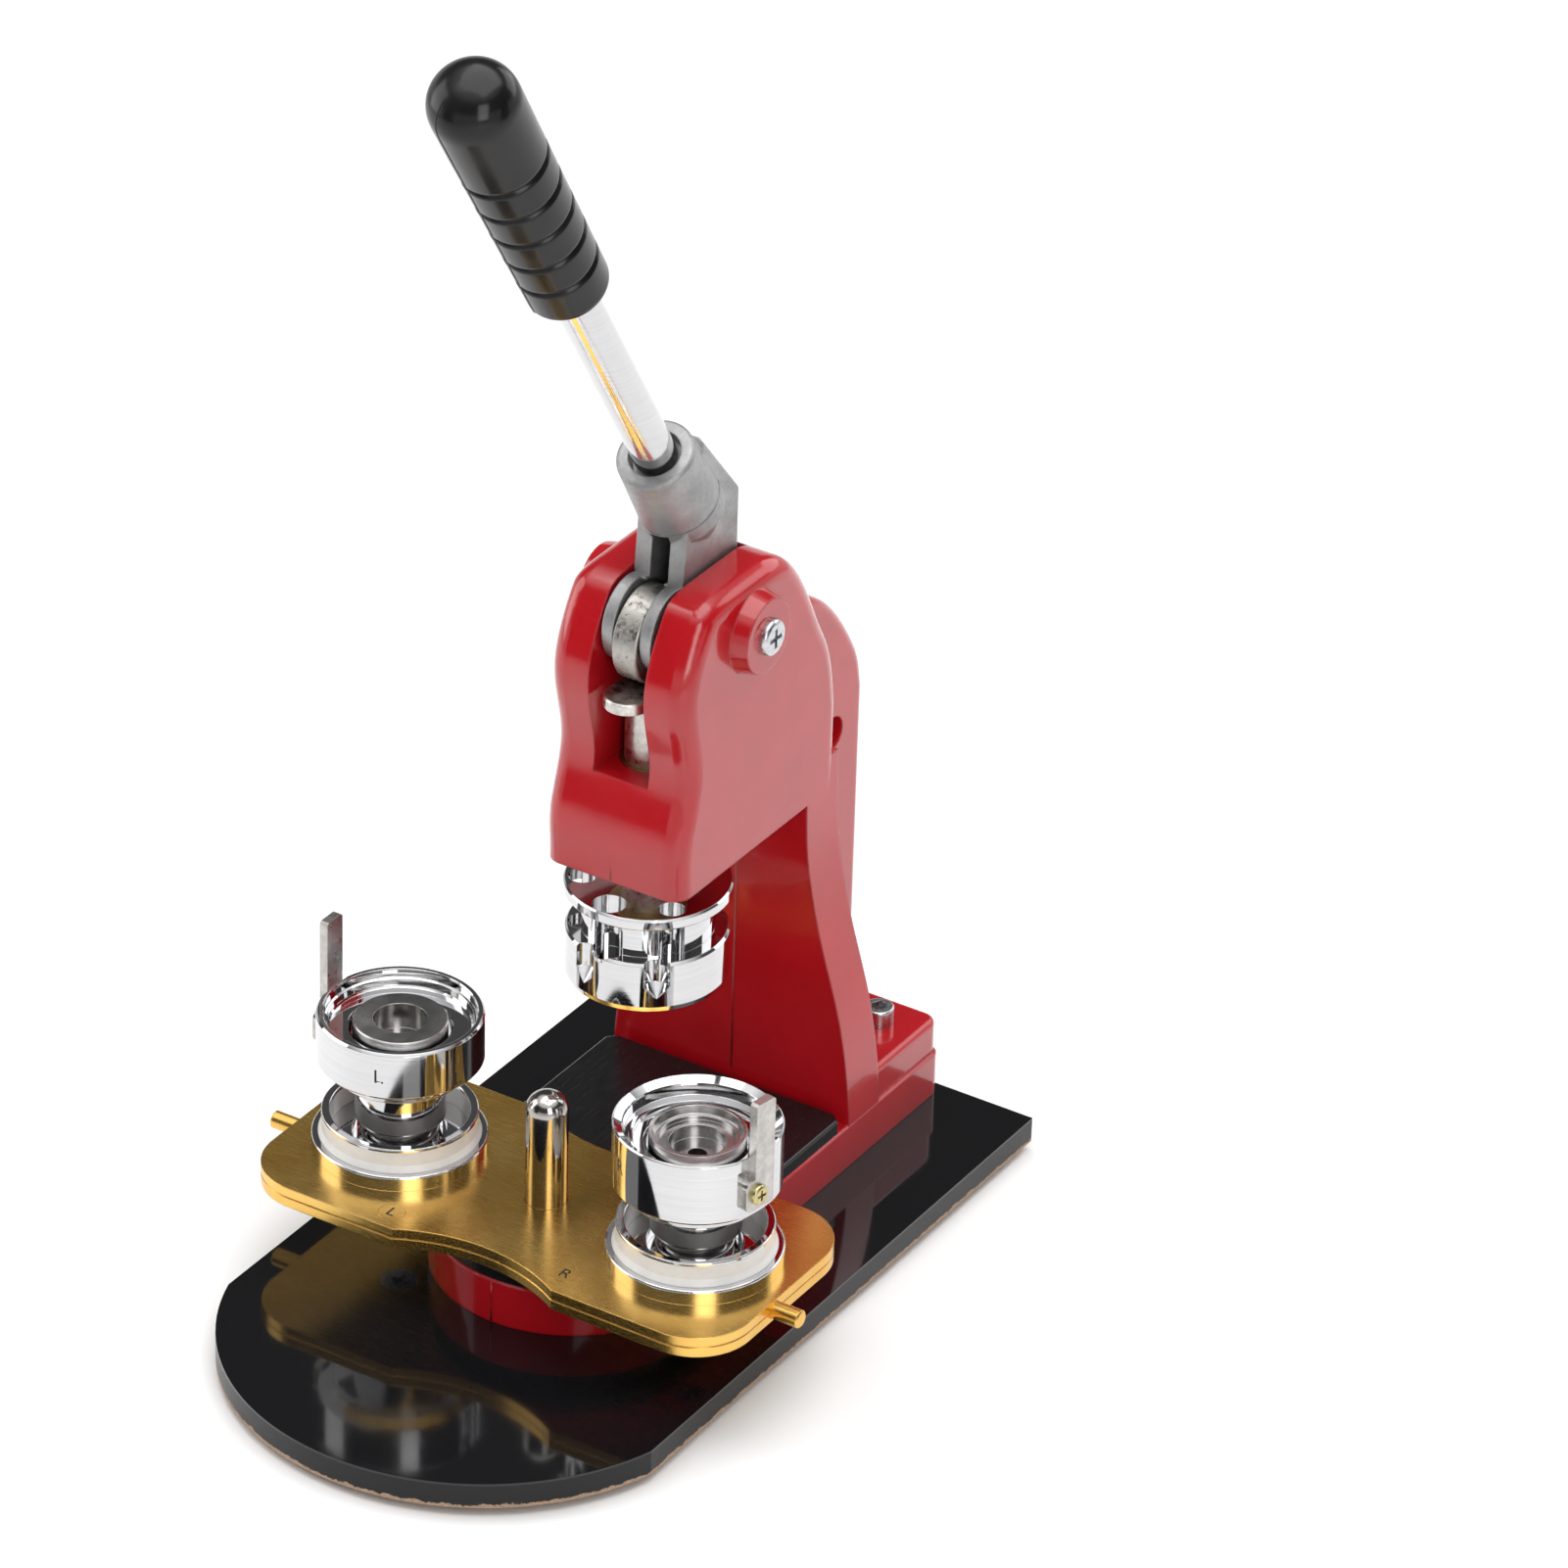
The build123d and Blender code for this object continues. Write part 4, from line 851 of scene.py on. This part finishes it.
floor_size = 4.0
plain_card("floor", [(-floor_size, -floor_size, 0.0), (floor_size, -floor_size, 0.0),
                     (floor_size, floor_size, 0.0), (-floor_size, floor_size, 0.0)], (0.93, 0.93, 0.93))
dark = (0.015, 0.015, 0.015)


def upright_corners(start, end, top):
    """Corners of an upright card over a line on the floor, from just above the floor."""
    low = 0.05
    return [(*start, low), (*end, low), (*end, top), (*start, top)]


plain_card("dark_card_left", upright_corners((-0.9, -1.1), (-0.45, -1.5), 1.1), dark)
plain_card("dark_card_right", upright_corners((1.15, 0.0), (1.15, 0.5), 0.9), dark)
print("floor half size:", floor_size)

# %% [markdown]
# ## Lights
#
# Four soft panels light the press, from above, the left, the right and behind. Large panels give
# soft shadow edges and broad highlights, which suit enamel and plated steel.

# %% Lights
def panel(name, place, target, width, height, power):
    light = bpy.data.lights.new(name, "AREA")
    light.shape = "RECTANGLE"
    light.size = width
    light.size_y = height
    light.energy = power
    lamp = bpy.data.objects.new(name, light)
    lamp.location = place
    direction = Vector(target) - Vector(place)
    lamp.rotation_euler = direction.to_track_quat("-Z", "Y").to_euler()
    bpy.context.scene.collection.objects.link(lamp)
    return lamp


middle = (0.0, 0.0, 0.18)
panel("top_panel", (0.0, 0.1, 1.5), middle, width=1.4, height=1.4, power=12.0)
panel("left_panel", (-1.3, -0.5, 0.7), middle, width=0.9, height=1.2, power=8.0)
panel("right_panel", (1.1, -1.0, 0.8), middle, width=0.6, height=1.1, power=7.0)
panel("back_panel", (0.4, 1.4, 0.9), middle, width=1.2, height=0.8, power=6.0)

lamp_count = sum(1 for item in bpy.data.objects if item.type == "LIGHT")
print("lights:", lamp_count)

# %% [markdown]
# ## Walls of the studio
#
# The walls are dark in a band between the floor and the ceiling light, so that the black laminate
# stays black and the bright metal shows dark stripes beside its highlights: a polished surface looks
# like what is round it. The world colour follows the height of a ray's direction, and a colour ramp
# holds the heights and brightnesses.

# %% Walls
world_strength = 0.8
world = bpy.data.worlds.new("studio")
world.use_nodes = True
tree = world.node_tree
background = tree.nodes["Background"]
direction = tree.nodes.new("ShaderNodeTexCoord")
split = tree.nodes.new("ShaderNodeSeparateXYZ")
tree.links.new(direction.outputs["Generated"], split.inputs["Vector"])
walls = tree.nodes.new("ShaderNodeValToRGB")
tree.links.new(split.outputs["Z"], walls.inputs["Fac"])
wall_tones = ((0.0, 0.9), (0.12, 0.9), (0.24, 0.10), (0.62, 0.10), (0.80, 1.5), (1.0, 1.5))
while len(walls.color_ramp.elements) < len(wall_tones):
    walls.color_ramp.elements.new(0.5)
for element, (height, tone) in zip(walls.color_ramp.elements, wall_tones):
    element.position = height
    element.color = (tone, tone, tone, 1.0)
tree.links.new(walls.outputs["Color"], background.inputs["Color"])
background.inputs["Strength"].default_value = world_strength
bpy.context.scene.world = world
print("wall tones:", len(wall_tones))

# %% [markdown]
# ## Viewpoint
#
# A long lens from the front right, about thirty degrees above the floor, shows the turntable, both
# dies and the lever together with little perspective. The Standard view keeps the white floor white.

# %% Viewpoint
turn = math.radians(31.46)
lift = math.radians(30.75)
roll = math.radians(-1.815)
toward_eye = Vector((math.sin(turn) * math.cos(lift), -math.cos(turn) * math.cos(lift), math.sin(lift)))
right = Vector((math.cos(turn), math.sin(turn), 0.0))
above = toward_eye.cross(right)
aim = Vector((-101.60, 277.58, 12.0)) * mm
eye_distance = 2904.27 * mm
eye = aim + toward_eye * eye_distance
view_right = right * math.cos(roll) - above * math.sin(roll)
view_up = right * math.sin(roll) + above * math.cos(roll)
camera_data = bpy.data.cameras.new("view")
camera_data.lens = 190.62
camera_data.sensor_width = 36.0
camera_data.clip_end = 20.0
camera = bpy.data.objects.new("view", camera_data)
camera.matrix_world = Matrix((
    (view_right.x, view_up.x, toward_eye.x, eye.x),
    (view_right.y, view_up.y, toward_eye.y, eye.y),
    (view_right.z, view_up.z, toward_eye.z, eye.z),
    (0.0, 0.0, 0.0, 1.0),
))
bpy.context.scene.collection.objects.link(camera)
bpy.context.scene.camera = camera
bpy.context.scene.view_settings.view_transform = "Standard"
print("eye at", [round(value, 3) for value in eye])
